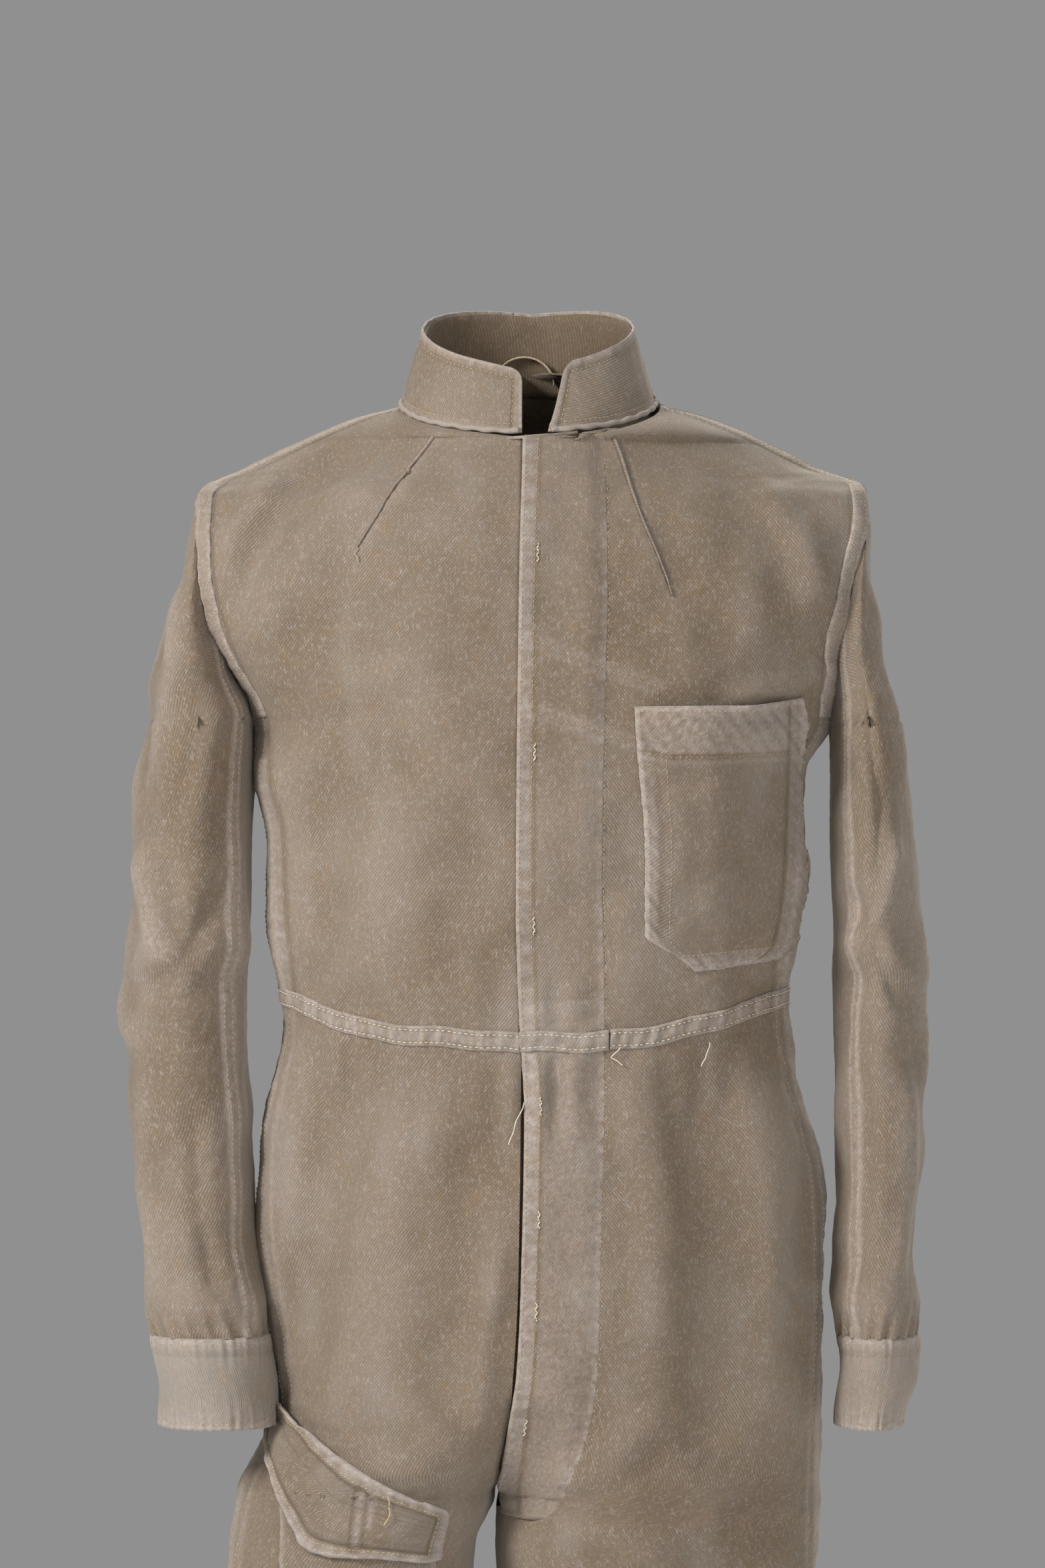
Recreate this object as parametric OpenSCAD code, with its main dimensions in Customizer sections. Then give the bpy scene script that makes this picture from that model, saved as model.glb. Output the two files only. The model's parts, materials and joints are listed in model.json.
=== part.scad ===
// Cotton twill work coverall with a stand collar, a buttoned overlap front and long sleeves.
// The origin is the middle of the neck opening. +Z is up, the front of the garment faces -Y,
// and the wearer's right side is at -X. Heights are measured from the neck, so most are negative.

/* [Cloth] */
// Thickness of one layer of cloth, with its seam allowance
cloth_t = 2; // [1.6:0.1:2.4]
// Clearance between two layers
layer_gap = 0.4; // [0.3:0.05:0.5]

/* [Body] */
// Drop from the neck to the waist seam
waist_drop = 411; // [406:1:416]
// Drop from the neck to the crotch
crotch_drop = 745; // [735:1:755]
// Drop from the neck to the trouser hems
hem_drop = 1520; // [1480:1:1560]
// How much lower the waist seam hangs in the middle of the front
waist_sag = 28; // [20:1:34]
// Height of the waist seam band
band_h = 12; // [10:1:14]

/* [Collar] */
// Half the collar's width at its base
collar_half_w = 87; // [85:0.5:89]
// Half the collar's depth at its base
collar_half_d = 71; // [68:0.5:74]
// Height of the collar stand
collar_h = 42; // [40:1:46]

/* [Sleeves] */
// Drop from the neck to the elbows
elbow_drop = 390; // [385:1:395]
// Drop from the neck to the cuff seams
cuff_drop = 642; // [636:1:648]
// Drop from the neck to the cuff edges
wrist_drop = 702; // [698:1:706]

/* [Trousers] */
// Drop from the neck to the knees
knee_drop = 1130; // [1110:5:1150]
// Height of the turned hem at each trouser leg
leg_hem_h = 32; // [24:2:40]

/* [Front opening] */
// Width of the overlap, from its free edge to its stitch line
overlap_w = 58; // [54:1:62]
// Diameter of a button
button_d = 17; // [15:0.5:19]
// Number of buttons from the collar to the fly
button_count = 8; // [6:1:8]

/* [Hidden] */

R = -1;                       // the wearer's right side
L = 1;                        // the wearer's left side
khaki = [0.66, 0.56, 0.43];
khaki_pale = [0.72, 0.62, 0.49];
khaki_dark = [0.50, 0.41, 0.30];
underarm_z = -225;
shoulder_z = -61;
shoulder_pivot = [205, -80];  // distance from the middle, and height
cap_r = 100;                  // the sleeve turns outside this radius around the shoulder's pivot
sag_reach = 95;               // height over which the sagging of the waist fades out
notch_a = 24;                 // half the notch that lets an elbow or a knee bend
elbow_y = -4;
knee_y = 0;
placket_top_z = -150;         // the overlap is free below this height
fly_end_z = -650;             // and above this one
hinge_x = 50;                 // the overlap turns about its stitch line

// Width of the garment's edge at each height: shoulder line, armhole, side seam and outseam.
edge_right = [
    [-1520, 186], [-1200, 196], [-1000, 204], [-800, 207], [-745, 199], [-715, 181], [-700, 171],
    [-640, 175], [-600, 180], [-560, 185], [-513, 184], [-467, 176], [-433, 170], [-400, 172], [-349, 177],
    [-300, 179], [-268, 187], [-225, 190], [-193, 205], [-157, 219], [-130, 225],
    [-105, 227], [-74, 226], [-61, 217], [-54, 200], [-33, 156], [-17, 117], [-9, 90],
];
edge_left = [
    [-1520, 180], [-1200, 190], [-1000, 196], [-787, 194], [-690, 196], [-612, 199],
    [-559, 199], [-507, 191], [-465, 178], [-402, 173], [-367, 174], [-320, 184],
    [-261, 186], [-225, 203], [-180, 207], [-144, 215], [-119, 220], [-88, 225],
    [-65, 224], [-61, 219], [-54, 201], [-33, 157], [-17, 117], [-9, 90],
];
// Place across of the centre front line, and below the crotch of each inseam.
middle = [[-745, -24], [-700, -17], [-600, -10], [-430, -8], [-33, -6], [20, -6]];
inseam_right = [[-1520, -24], [-1000, -35], [-790, -37], [-746, -25]];
inseam_left = [[-1520, 6], [-1000, -14], [-790, -27], [-746, -23]];
// Depth in front of and behind the side seams.
front_d = [
    [-1520, 64], [-1000, 94], [-790, 108], [-745, 112], [-660, 118], [-600, 121], [-520, 118],
    [-430, 113], [-300, 124], [-200, 126], [-150, 121], [-100, 112], [-60, 98], [-33, 85],
];
back_d = [
    [-1520, 66], [-1000, 97], [-790, 110], [-745, 116], [-680, 124], [-600, 128], [-520, 116],
    [-430, 98], [-300, 108], [-225, 116], [-150, 118], [-80, 108], [-30, 84], [10, 59],
];
fullness = [[-1520, 2], [-800, 2], [-700, 2.3], [-260, 2.4], [-33, 1.7]];
roundness = [[-260, 0.5], [-150, 0.7], [-33, 0.9]];
// Half width, centre and half depth of the sleeves.
sleeve_w_right = [
    [-702, 39], [-631, 39], [-523, 41], [-423, 41], [-292, 39], [-225, 35], [-157, 17.6],
    [-105, 6.2], [-74, 4], [-61, 2],
];
sleeve_w_left = [
    [-702, 22], [-660, 26], [-606, 27], [-458, 30], [-387, 30], [-287, 28], [-228, 23],
    [-156, 12], [-113, 7], [-80, 4], [-61, 2],
];
sleeve_x_right = [
    [-702, 214], [-631, 221], [-596, 225], [-523, 231], [-423, 237], [-360, 234],
    [-292, 231.5], [-226, 226],
];
sleeve_x_left = [
    [-702, 229], [-660, 235], [-606, 233], [-458, 236.5], [-387, 235], [-287, 231],
    [-226, 227],
];
sleeve_d = [
    [-702, 50], [-600, 54], [-400, 66], [-225, 74], [-157, 68], [-130, 60], [-105, 50],
    [-74, 28], [-61, 4],
];
sleeve_y = [[-702, -22], [-400, -4], [-225, 0]];

function clamp01(a) = max(0, min(1, a));
function root(a) = sqrt(max(0, a));

// The trunk and legs. u runs from the middle line (0) to the side (1), w is the height.
function edge_x(side, z) = lookup(z, side == R ? edge_right : edge_left);
function inner_x(side, z) =
    z > -crotch_drop ? side * lookup(z, middle)
                     : side * lookup(z, side == R ? inseam_right : inseam_left);
function crotch_round(u, z) =
    let (q = clamp01((-640 - z) / (crotch_drop - 640)))
    root(1 - pow(q * max(0, 1 - 2 * u), 2));
function arm_angle(z) = 90 + 90 * pow(clamp01((shoulder_z - z) / (shoulder_z - underarm_z)), 1.5);
function arm_depth(z) =
    z < underarm_z || z > shoulder_z ? 0 : lookup(z, sleeve_d) * sin(arm_angle(z));
function neck_x(z) =            // the neckline's distance from the middle, in front
    z < -33 ? 0 : collar_half_w * root(1 - pow((z + 9) / 25, 2));
function neck_d(z) = 14 + collar_half_d * root(1 - pow(neck_x(z) / collar_half_w, 2));
function profile(s, z, inside, outside) =
    outside + (inside - outside) * pow(root(1 - pow(s, lookup(z, fullness))), 2 * lookup(z, roundness));
function sag(s, z) =
    waist_sag * (1 - pow(clamp01(s), 2.5)) * exp(-pow((z + waist_drop) / sag_reach, 2));
function front_pt(side, u, z) =
    let (s = sin(90 * u),
         xi = z < -33 ? inner_x(side, z) : neck_x(z),
         di = z < -33 ? lookup(z, front_d) : neck_d(z),
         x = xi + (edge_x(side, z) - xi) * s)
    [side * x, -profile(s, z, di, arm_depth(z)) * crotch_round(s, z), z - sag(s, z)];
function back_pt(side, u, z) =
    let (s = sin(90 * u),
         xi = inner_x(side, z),
         xe = z > -9 ? collar_half_w * root(1 - pow((z + 9) / 21, 2)) : edge_x(side, z),
         x = xi + (xe - xi) * s)
    [side * x, profile(s, z, lookup(z, back_d), z > -9 ? 14 : arm_depth(z)) * crotch_round(s, z), z];
// The front surface at a place across, for pieces that lie on it.
function across(side, x, z) =
    let (xi = inner_x(side, z)) asin(clamp01((side * x - xi) / (edge_x(side, z) - xi))) / 90;
function front_at(x, z) =
    let (side = x < lookup(z, middle) ? R : L) front_pt(side, across(side, x, z), z);

// The sleeves. a is the angle around the sleeve: 0 is its outer side and 90 its front.
function sleeve_wd(side, z) = lookup(z, side == R ? sleeve_w_right : sleeve_w_left);
function sleeve_cx(side, z) =
    z < underarm_z ? lookup(z, side == R ? sleeve_x_right : sleeve_x_left)
                   : edge_x(side, z) - sleeve_wd(side, z) * cos(arm_angle(z));
function sleeve_pt(side, a, z) =
    [side * (sleeve_cx(side, z) + sleeve_wd(side, z) * cos(a)),
     lookup(z, sleeve_y) - lookup(z, sleeve_d) * sin(a), z];
function armhole_z(a) =
    shoulder_z + (underarm_z - shoulder_z) * pow(clamp01((abs(a > 180 ? a - 360 : a) - 90) / 90), 2 / 3);
function cap_end_z(side, a) =
    let (x = abs(sleeve_pt(side, a, -170).x) - shoulder_pivot[0])
    shoulder_pivot[1] - root(cap_r * cap_r - x * x);

// A leg below the crotch. a is the angle around it: 0 is the inseam and 90 the front.
function leg_pt(side, a, z) =
    let (u = asin(clamp01((1 - cos(a)) / 2)) / 90)
    sin(a) >= 0 ? front_pt(side, u, z) : back_pt(side, u, z);

// Steps from one value to another.
function steps(a, b, n) = [for (i = [0 : n]) a + (b - a) * i / n];
function unit(v) = norm(v) < 1e-9 ? [0, 0, 0] : v / norm(v);

// A layer of cloth over the surface f(p, q). out is how far its face stands outside the surface.
module cloth(f, ps, qs, out = 0, t = cloth_t, closed = false, turn = 1) {
    n = len(ps);
    m = len(qs);
    dp = 0.002 * (ps[n - 1] - ps[0]);
    dq = 0.002 * (qs[m - 1] - qs[0]);
    function normal(p, q) =
        let (p0 = max(min(ps[0], ps[n - 1]), p - abs(dp)), p1 = min(max(ps[0], ps[n - 1]), p + abs(dp)))
        turn * unit(cross(f(closed ? p + dp : p1, q) - f(closed ? p - dp : p0, q),
                          f(p, q + dq) - f(p, q - dq)));
    face = [for (q = qs) for (p = ps) f(p, q) + normal(p, q) * out];
    lining = [for (q = qs) for (p = ps) f(p, q) + normal(p, q) * (out - t)];
    wrap = closed ? n : n - 1;
    function at(i, j) = j * n + (i % n);
    b = n * m;
    quads = concat(
        [for (j = [0 : m - 2]) for (i = [0 : wrap - 1])
            [at(i, j), at(i + 1, j), at(i + 1, j + 1), at(i, j + 1)]],
        [for (j = [0 : m - 2]) for (i = [0 : wrap - 1])
            [b + at(i, j), b + at(i, j + 1), b + at(i + 1, j + 1), b + at(i + 1, j)]],
        [for (i = [0 : wrap - 1]) [at(i, 0), b + at(i, 0), b + at(i + 1, 0), at(i + 1, 0)]],
        [for (i = [0 : wrap - 1])
            [at(i, m - 1), at(i + 1, m - 1), b + at(i + 1, m - 1), b + at(i, m - 1)]],
        closed ? [] : [for (j = [0 : m - 2]) [at(0, j), at(0, j + 1), b + at(0, j + 1), b + at(0, j)]],
        closed ? [] : [for (j = [0 : m - 2])
            [at(n - 1, j), b + at(n - 1, j), b + at(n - 1, j + 1), at(n - 1, j + 1)]]);
    tris = [for (k = quads) each [[k[0], k[1], k[2]], [k[0], k[2], k[3]]]];
    polyhedron(concat(face, lining), turn > 0 ? [for (k = tris) [k[2], k[1], k[0]]] : tris);
}

// A patch on the front, between the lines x0(z) and x1(z), with its middle raised by lift.
module patch(x0, x1, zs, n, out, lift = 0, t = cloth_t) {
    top = zs[0];
    low = zs[len(zs) - 1];
    cloth(function(p, z)
            front_at(x0(z) + (x1(z) - x0(z)) * sin(90 * p), z)
            + [0, -lift * sin(180 * p) * sin(90 * clamp01(1.6 * (z - low) / (top - low))), 0],
        steps(0, 1, n), zs, out = out, t = t, turn = -1);
}

// --- Collar ---------------------------------------------------------------------------------
// a is the angle around the neck: 0 is the middle of the back and 180 the middle of the front.
function collar_pt(a, v) =
    let (lean = 1 - 0.17 * v, rise = collar_h + side_rise * abs(sin(a)))
    [-6 * (1 - cos(a)) / 2 + collar_half_w * lean * sin(a), -14 + collar_half_d * lean * cos(a) + 2 * v,
     -9 + 23 * cos(a) + v * rise + 1];
side_rise = 10;               // the collar stands higher at the sides of the neck
collar_a0 = -179;
// The right-hand end leans, so it ends sooner at the top.
function collar_a1(v) = 169 - 11 * v;
function collar_at(p, v) = collar_pt(collar_a0 + (collar_a1(v) - collar_a0) * p, v);
module collar_outer() {
    color(khaki_pale)
    cloth(function(p, v) collar_at(p, v), steps(0, 1, 34), steps(0.03, 1, 3),
        out = 0, t = 1.6, turn = -1);
}
module collar_lining() {
    color(khaki)
    cloth(function(p, v) collar_at(p, v), steps(0, 1, 34), steps(0.04, 0.99, 2),
        out = -2, t = 1.6, turn = -1);
}
module hanging_loop() {
    loop_r = 20;
    color(khaki_dark)
    translate([-6, -14 + collar_half_d - 9.6, 8])
    rotate([90, 0, 0])
    rotate_extrude(angle = 180, $fn = 48)
    translate([loop_r, 0]) square([5, 2], center = true);
}
hook_in = 6.6;                // the hook and the eye lie this far behind the collar's face
module collar_hook() {
    color("dimgray")
    translate(collar_at(0.012, 0.3) + [0, hook_in, 0])
    rotate([90, 0, 0])
    difference() {
        cylinder(h = 1.2, d = 9, center = true, $fn = 32);
        cylinder(h = 2, d = 5, center = true, $fn = 32);
    }
}
module collar_eye() {
    color("dimgray")
    translate(collar_at(0.99, 0.3) + [0, hook_in, 0])
    rotate([90, 0, 0])
    difference() {
        cylinder(h = 1.2, d = 8, center = true, $fn = 32);
        cylinder(h = 2, d = 5, center = true, $fn = 32);
    }
}

// --- Bodice ---------------------------------------------------------------------------------
trunk_z = [-396, -370, -320, -270, -228, -190, -155, -120, -95, -75, -62, -46, -35, -32, -28, -22, -15];
band_top = -waist_drop + band_h / 2;
// The panels stop just short of each other, and shorter at the shoulders where they face up.
function seam_u(z) = z > shoulder_z ? 0.92 : 0.995;
module bodice_front(side) {
    u0 = function(z) side == R ? 0.02 : z < -40 ? across(L, hinge_x + 0.5, z) : 0.03;
    color(khaki)
    cloth(function(u, z) front_pt(side, u0(z) + (seam_u(z) - u0(z)) * u, z),
        steps(0, 1, 11), concat([band_top + 0.5], trunk_z), turn = side);
}
module bodice_front_right() { bodice_front(R); }
module bodice_front_left() { bodice_front(L); }
module bodice_back(side) {
    color(khaki)
    cloth(function(u, z) back_pt(side, 0.004 + (seam_u(z) - 0.004) * u, z), steps(0, 1, 10),
        concat([band_top + 0.5], trunk_z, [-6]), turn = -side);
}
module bodice_back_right() { bodice_back(R); }
module bodice_back_left() { bodice_back(L); }

// --- Sleeves --------------------------------------------------------------------------------
// The cap is sewn to the armhole. It ends on a cylinder around the shoulder's pivot.
module sleeve_cap(side) {
    reach = 137;
    color(khaki)
    cloth(function(a, v)
            let (z0 = min(armhole_z(a), -65) - 1, z1 = cap_end_z(side, a) + 1)
            sleeve_pt(side, a, z0 + (z1 - z0) * v),
        steps(-reach, reach, 16), steps(0, 1, 5), turn = side);
}
module sleeve_cap_right() { sleeve_cap(R); }
module sleeve_cap_left() { sleeve_cap(L); }
function notch(y, y0, facing) = max(0, facing * (y - y0)) * tan(notch_a);
module upper_sleeve(side) {
    color(khaki)
    cloth(function(a, v)
            let (z0 = min(cap_end_z(side, a), armhole_z(a)) - 2.5,
                 z1 = -elbow_drop + 0.5 + notch(sleeve_pt(side, a, -elbow_drop).y, elbow_y, -1))
            sleeve_pt(side, a, z0 + (z1 - z0) * v),
        steps(-180, 165, 23), steps(0, 1, 6), closed = true, turn = side);
}
module upper_sleeve_right() { upper_sleeve(R); }
module upper_sleeve_left() { upper_sleeve(L); }
module forearm_sleeve(side) {
    color(khaki)
    cloth(function(a, v)
            let (z0 = -elbow_drop - 0.5 - notch(sleeve_pt(side, a, -elbow_drop).y, elbow_y, -1))
            sleeve_pt(side, a, z0 + (-cuff_drop + 0.5 - z0) * v),
        steps(-180, 165, 23), steps(0, 1, 6), closed = true, turn = side);
}
module forearm_sleeve_right() { forearm_sleeve(R); }
module forearm_sleeve_left() { forearm_sleeve(L); }
module cuff(side, out, top, low) {
    cloth(function(a, z) sleeve_pt(side, a, z),
        steps(-180, 165, 23), steps(top, low, 2), out = out, closed = true, turn = side);
}
module cuff_right() { color(khaki_pale) cuff(R, 0.6, -cuff_drop - 0.5, -wrist_drop); }
module cuff_left() { color(khaki_pale) cuff(L, 0.6, -cuff_drop - 0.5, -wrist_drop); }
module cuff_facing_right() { color(khaki) cuff(R, -1.8, -cuff_drop - 4, -wrist_drop + 1); }
module cuff_facing_left() { color(khaki) cuff(L, -1.8, -cuff_drop - 4, -wrist_drop + 1); }

// --- Front pieces ---------------------------------------------------------------------------
free_edge_x = hinge_x - overlap_w;
module placket_top() {
    color(khaki_pale)
    patch(function(z) free_edge_x, function(z) hinge_x - 0.5,
        [-44, -70, -105, placket_top_z + 0.5], 6, out = cloth_t + layer_gap);
}
module overlap_bodice() {
    color(khaki_pale)
    patch(function(z) free_edge_x, function(z) hinge_x - 0.5,
        steps(placket_top_z - 0.5, -waist_drop + 0.5, 7), 6, out = cloth_t + layer_gap);
}
module overlap_fly() {
    color(khaki_pale)
    patch(function(z) free_edge_x, function(z) hinge_x - 0.5,
        steps(-waist_drop - 0.5, fly_end_z + 0.5, 6), 6, out = cloth_t + layer_gap);
}
// The strips with the buttonholes lie under the overlap and move with it.
module buttonhole_strip(top, low) {
    color(khaki_dark)
    patch(function(z) free_edge_x + 3, function(z) hinge_x - 12,
        steps(top, low, 6), 5, out = -0.6, t = 1.4);
}
module buttonhole_strip_bodice() { buttonhole_strip(placket_top_z - 4, -waist_drop + 14); }
module buttonhole_strip_fly() { buttonhole_strip(-waist_drop - 10, fly_end_z + 4); }
// The J-shaped end of the overlap is sewn down over the crotch.
module fly_end() {
    color(khaki_pale)
    patch(function(z) lookup(z, [[-738, -18], [-709, -14], [fly_end_z, free_edge_x]]),
        function(z) hinge_x - 2 - 40 * pow(clamp01((fly_end_z - z) / 90), 2.2),
        steps(fly_end_z - 0.5, -734, 6), 5, out = cloth_t + layer_gap);
}
stand_out = -7;             // the button stand and the fly shield lie inside the overlap
button_in = 4.1;              // and the buttons between them and it
module button_stand() {
    color(khaki)
    patch(function(z) free_edge_x + 8, function(z) hinge_x - 10,
        steps(-60, -waist_drop + 10, 8), 4, out = stand_out, t = 1.6);
}
module fly_shield() {
    color(khaki)
    patch(function(z) free_edge_x + 2, function(z) hinge_x - 12,
        steps(-waist_drop - 10, -700, 6), 4, out = stand_out, t = 1.6);
}
module buttons() {
    color("saddlebrown")
    for (i = [0 : button_count - 1]) {
        z = -84 - 80 * i;
        translate(front_at(hinge_x - 30, z) + [0, button_in, 0])
        rotate([90, 0, 0])
        cylinder(h = 1.6, d = button_d, center = true, $fn = 40);
    }
}
module chest_strap() {
    function drop(x) = -0.19 * (x - 52);
    color(khaki)
    cloth(function(p, q) let (x = 56 + 34 * p) front_at(x, -178 - 42 * q + drop(x)),
        steps(0, 1, 5), steps(0, 0.62, 4), out = cloth_t + layer_gap, turn = -1);
}
pocket_gap = 2;             // the flat facets of the pocket clear those of the chest by this
module chest_pocket() {
    color(khaki_pale)
    patch(function(z) lookup(z, [[-373, 93], [-352, 73], [-310, 74], [-214, 67]]),
        function(z) lookup(z, [[-373, 166], [-366, 172], [-310, 178], [-214, 182]]),
        [-214, -236, -260, -285, -310, -335, -355, -372], 12, out = cloth_t + pocket_gap, lift = 8);
}
module waist_band(side, x0) {
    color(khaki_pale)
    cloth(function(u, z) front_pt(side, u, z), steps(x0, 0.992, 12),
        steps(band_top, band_top - band_h, 1), out = 1, t = 3, turn = -side);
}
module waist_band_right() { waist_band(R, 0.02); }
module waist_band_left() { waist_band(L, across(L, hinge_x + 0.5, -waist_drop)); }
module waist_band_back() {
    color(khaki_pale)
    for (side = [R, L])
        cloth(function(u, z) back_pt(side, u, z), steps(0.003, 0.992, 12),
            steps(band_top, band_top - band_h, 1), out = 1, t = 3, turn = side);
}

// --- Trousers -------------------------------------------------------------------------------
seat_z = concat(steps(band_top - band_h - 0.5, -640, 4), [-670, -700, -722, -738, -747, -770, -800]);
module trouser_front(side) {
    u0 = function(z) side == R ? 0.01
        : 0.01 + (across(L, hinge_x + 0.5, max(z, -crotch_drop + 2)) - 0.01) * clamp01((z + 735) / 60);
    color(khaki)
    cloth(function(u, z) front_pt(side, u0(z) + (0.995 - u0(z)) * u, z), steps(0, 1, 10),
        concat(seat_z, steps(-870, -knee_drop + 0.5, 3)), turn = -side);
}
module trouser_front_right() { trouser_front(R); }
module trouser_front_left() { trouser_front(L); }
module trouser_back(side) {
    color(khaki)
    cloth(function(u, v)
            let (z1 = -knee_drop + 0.5 + notch(back_pt(side, u, -knee_drop).y, knee_y, 1),
                 z = v > -800 ? v : -800 + (z1 + 800) * (-800 - v) / 330)
            back_pt(side, u, z),
        steps(0.01, 0.995, 10), concat(seat_z, steps(-870, -1130, 3)), turn = side);
}
module trouser_back_right() { trouser_back(R); }
module trouser_back_left() { trouser_back(L); }
module lower_leg(side) {
    color(khaki)
    cloth(function(a, v)
            let (z0 = -knee_drop - 0.5 - notch(leg_pt(side, a, -knee_drop).y, knee_y, 1),
                 z1 = -hem_drop + leg_hem_h + 0.5)
            leg_pt(side, a, z0 + (z1 - z0) * v),
        steps(0, 345, 23), steps(0, 1, 5), closed = true, turn = -side);
}
module lower_leg_right() { lower_leg(R); }
module lower_leg_left() { lower_leg(L); }
module leg_hem(side) {
    color(khaki_pale)
    cloth(function(a, z) leg_pt(side, a, z), steps(0, 345, 23),
        steps(-hem_drop + leg_hem_h, -hem_drop, 1), out = 1, t = 3.4, closed = true, turn = -side);
}
module leg_hem_right() { leg_hem(R); }
module leg_hem_left() { leg_hem(L); }

// --- Thigh pocket and its flap --------------------------------------------------------------
// The flap hangs from a slanted line, from the outer hip down towards the inner thigh.
flap_hi = [-160, -692];
flap_lo = [-63, -753];
function flap_line(x) =
    flap_hi[1] + (flap_lo[1] - flap_hi[1]) * (x - flap_hi[0]) / (flap_lo[0] - flap_hi[0]);
flap_w = 74;
flap_out = 9;
module flap_layer(out, t, inset) {
    cloth(function(p, q)
            let (x = flap_hi[0] + inset + (flap_lo[0] - flap_hi[0] - 2 * inset) * p,
                 low = max(-783 + 6 * (1 - p), flap_line(x) - flap_w + 22 * pow(p, 2)) + inset,
                 top = flap_line(x) - 1 - inset)
            front_at(x + 6 * q * (1 - p), top + (low - top) * q),
        steps(0, 1, 8), steps(0, 1, 4), out = out, t = t, turn = -1);
}
module thigh_flap() { color(khaki_pale) flap_layer(flap_out, 1.8, 0); }
module thigh_flap_lining() { color(khaki) flap_layer(flap_out - 3, 1, 3); }
module thigh_pocket() {
    color(khaki)
    cloth(function(p, q)
            let (x = flap_hi[0] + 6 + (flap_lo[0] - flap_hi[0] - 10) * (1 - cos(90 * p)),
                 top = flap_line(x) - 8, low = -880 - 20 * sin(180 * p), z = top + (low - top) * q)
            front_at(x, z) + [0, -sin(180 * p) * sin(90 * clamp01(2 * (1 - q))), 0],
        steps(0, 1, 10), steps(0, 1, 6), out = cloth_t + 3 * layer_gap, turn = -1);
}

collar_outer();
collar_lining();
hanging_loop();
collar_hook();
collar_eye();
bodice_front_right();
bodice_front_left();
bodice_back_right();
bodice_back_left();
sleeve_cap_right();
sleeve_cap_left();
chest_strap();
chest_pocket();
placket_top();
button_stand();
fly_shield();
buttons();
waist_band_right();
waist_band_left();
waist_band_back();
trouser_front_right();
trouser_front_left();
trouser_back_right();
trouser_back_left();
thigh_pocket();
fly_end();
overlap_bodice();
overlap_fly();
buttonhole_strip_bodice();
buttonhole_strip_fly();
thigh_flap();
thigh_flap_lining();
upper_sleeve_right();
upper_sleeve_left();
forearm_sleeve_right();
forearm_sleeve_left();
cuff_right();
cuff_left();
cuff_facing_right();
cuff_facing_left();
lower_leg_right();
lower_leg_left();
leg_hem_right();
leg_hem_left();
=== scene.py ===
"""Looks of the cotton twill coverall: panels of cloth, felled seams, stitches, collar and pockets."""
import json
import math
import bpy
import numpy as np
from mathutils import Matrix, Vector

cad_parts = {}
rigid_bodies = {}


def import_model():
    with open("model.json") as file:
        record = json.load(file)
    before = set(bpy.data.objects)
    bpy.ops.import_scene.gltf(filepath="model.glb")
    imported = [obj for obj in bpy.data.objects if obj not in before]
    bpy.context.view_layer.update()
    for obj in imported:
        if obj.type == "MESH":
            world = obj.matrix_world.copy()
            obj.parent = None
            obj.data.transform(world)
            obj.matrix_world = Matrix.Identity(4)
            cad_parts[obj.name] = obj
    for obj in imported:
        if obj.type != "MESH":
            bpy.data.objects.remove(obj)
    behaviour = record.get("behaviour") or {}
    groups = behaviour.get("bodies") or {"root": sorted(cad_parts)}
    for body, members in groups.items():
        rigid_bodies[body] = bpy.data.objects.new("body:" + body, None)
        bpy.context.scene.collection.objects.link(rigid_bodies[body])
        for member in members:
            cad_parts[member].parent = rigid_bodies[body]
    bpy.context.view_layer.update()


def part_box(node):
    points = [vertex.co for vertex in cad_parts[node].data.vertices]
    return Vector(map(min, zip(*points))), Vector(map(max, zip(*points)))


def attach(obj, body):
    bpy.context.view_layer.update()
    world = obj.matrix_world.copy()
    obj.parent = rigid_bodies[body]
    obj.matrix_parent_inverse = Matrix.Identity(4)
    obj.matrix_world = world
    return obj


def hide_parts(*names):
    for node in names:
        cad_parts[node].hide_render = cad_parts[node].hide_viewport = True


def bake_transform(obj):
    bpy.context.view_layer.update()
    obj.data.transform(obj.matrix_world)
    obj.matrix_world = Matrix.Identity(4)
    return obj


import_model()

MM = 0.001
R, L = -1, 1                       # the wearer's right side is at -X
CLOTH = 0.95                       # thickness of one layer, mm
WAIST, CROTCH, HEM = -411.0, -745.0, -1520.0
ELBOW, CUFF, WRIST = -390.0, -642.0, -702.0
UNDERARM, SHOULDER = -225.0, -61.0
COLLAR_W, COLLAR_D, COLLAR_H = 87.0, 71.0, 42.0
HINGE_X = 50.0                     # the overlap's stitch line
OVERLAP_TOP, FLY_END = -150.0, -650.0
WAIST_DIP = 28.0                   # how much lower the waist seam hangs in the middle of the front
NECK = -9.0                        # height where the shoulder seam meets the collar
NECK_LOW = -34.0                   # the lowest place of the neckline
SIDES = ((R, "right"), (L, "left"))

# Outline and depth stations, as (height, distance) in mm.
EDGE = {
    R: [(-1520, 186), (-1200, 196), (-1000, 204), (-800, 207), (-745, 199), (-715, 181), (-700, 171),
        (-640, 175), (-600, 180), (-560, 185), (-513, 184.5), (-467, 176), (-433, 170), (-400, 172),
        (-349, 177), (-300, 179), (-268, 187),
        (-225, 190), (-193, 205), (-157, 219), (-130, 225), (-105, 227), (-74, 226), (-61, 217),
        (-54, 200), (-33, 156), (-17, 117), (-9, 90)],
    L: [(-1520, 180), (-1200, 190), (-1000, 196), (-787, 194), (-690, 196), (-612, 199), (-559, 199),
        (-507, 191), (-465, 178), (-402, 173), (-367, 174), (-320, 184), (-261, 186), (-225, 203),
        (-180, 207), (-144, 215), (-119, 220), (-88, 225), (-65, 224), (-61, 219), (-54, 201),
        (-33, 157), (-17, 117), (-9, 90)],
}
MIDDLE = [(-745, -24), (-700, -17), (-600, -10), (-430, -8), (-33, -6), (20, -6)]
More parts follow.
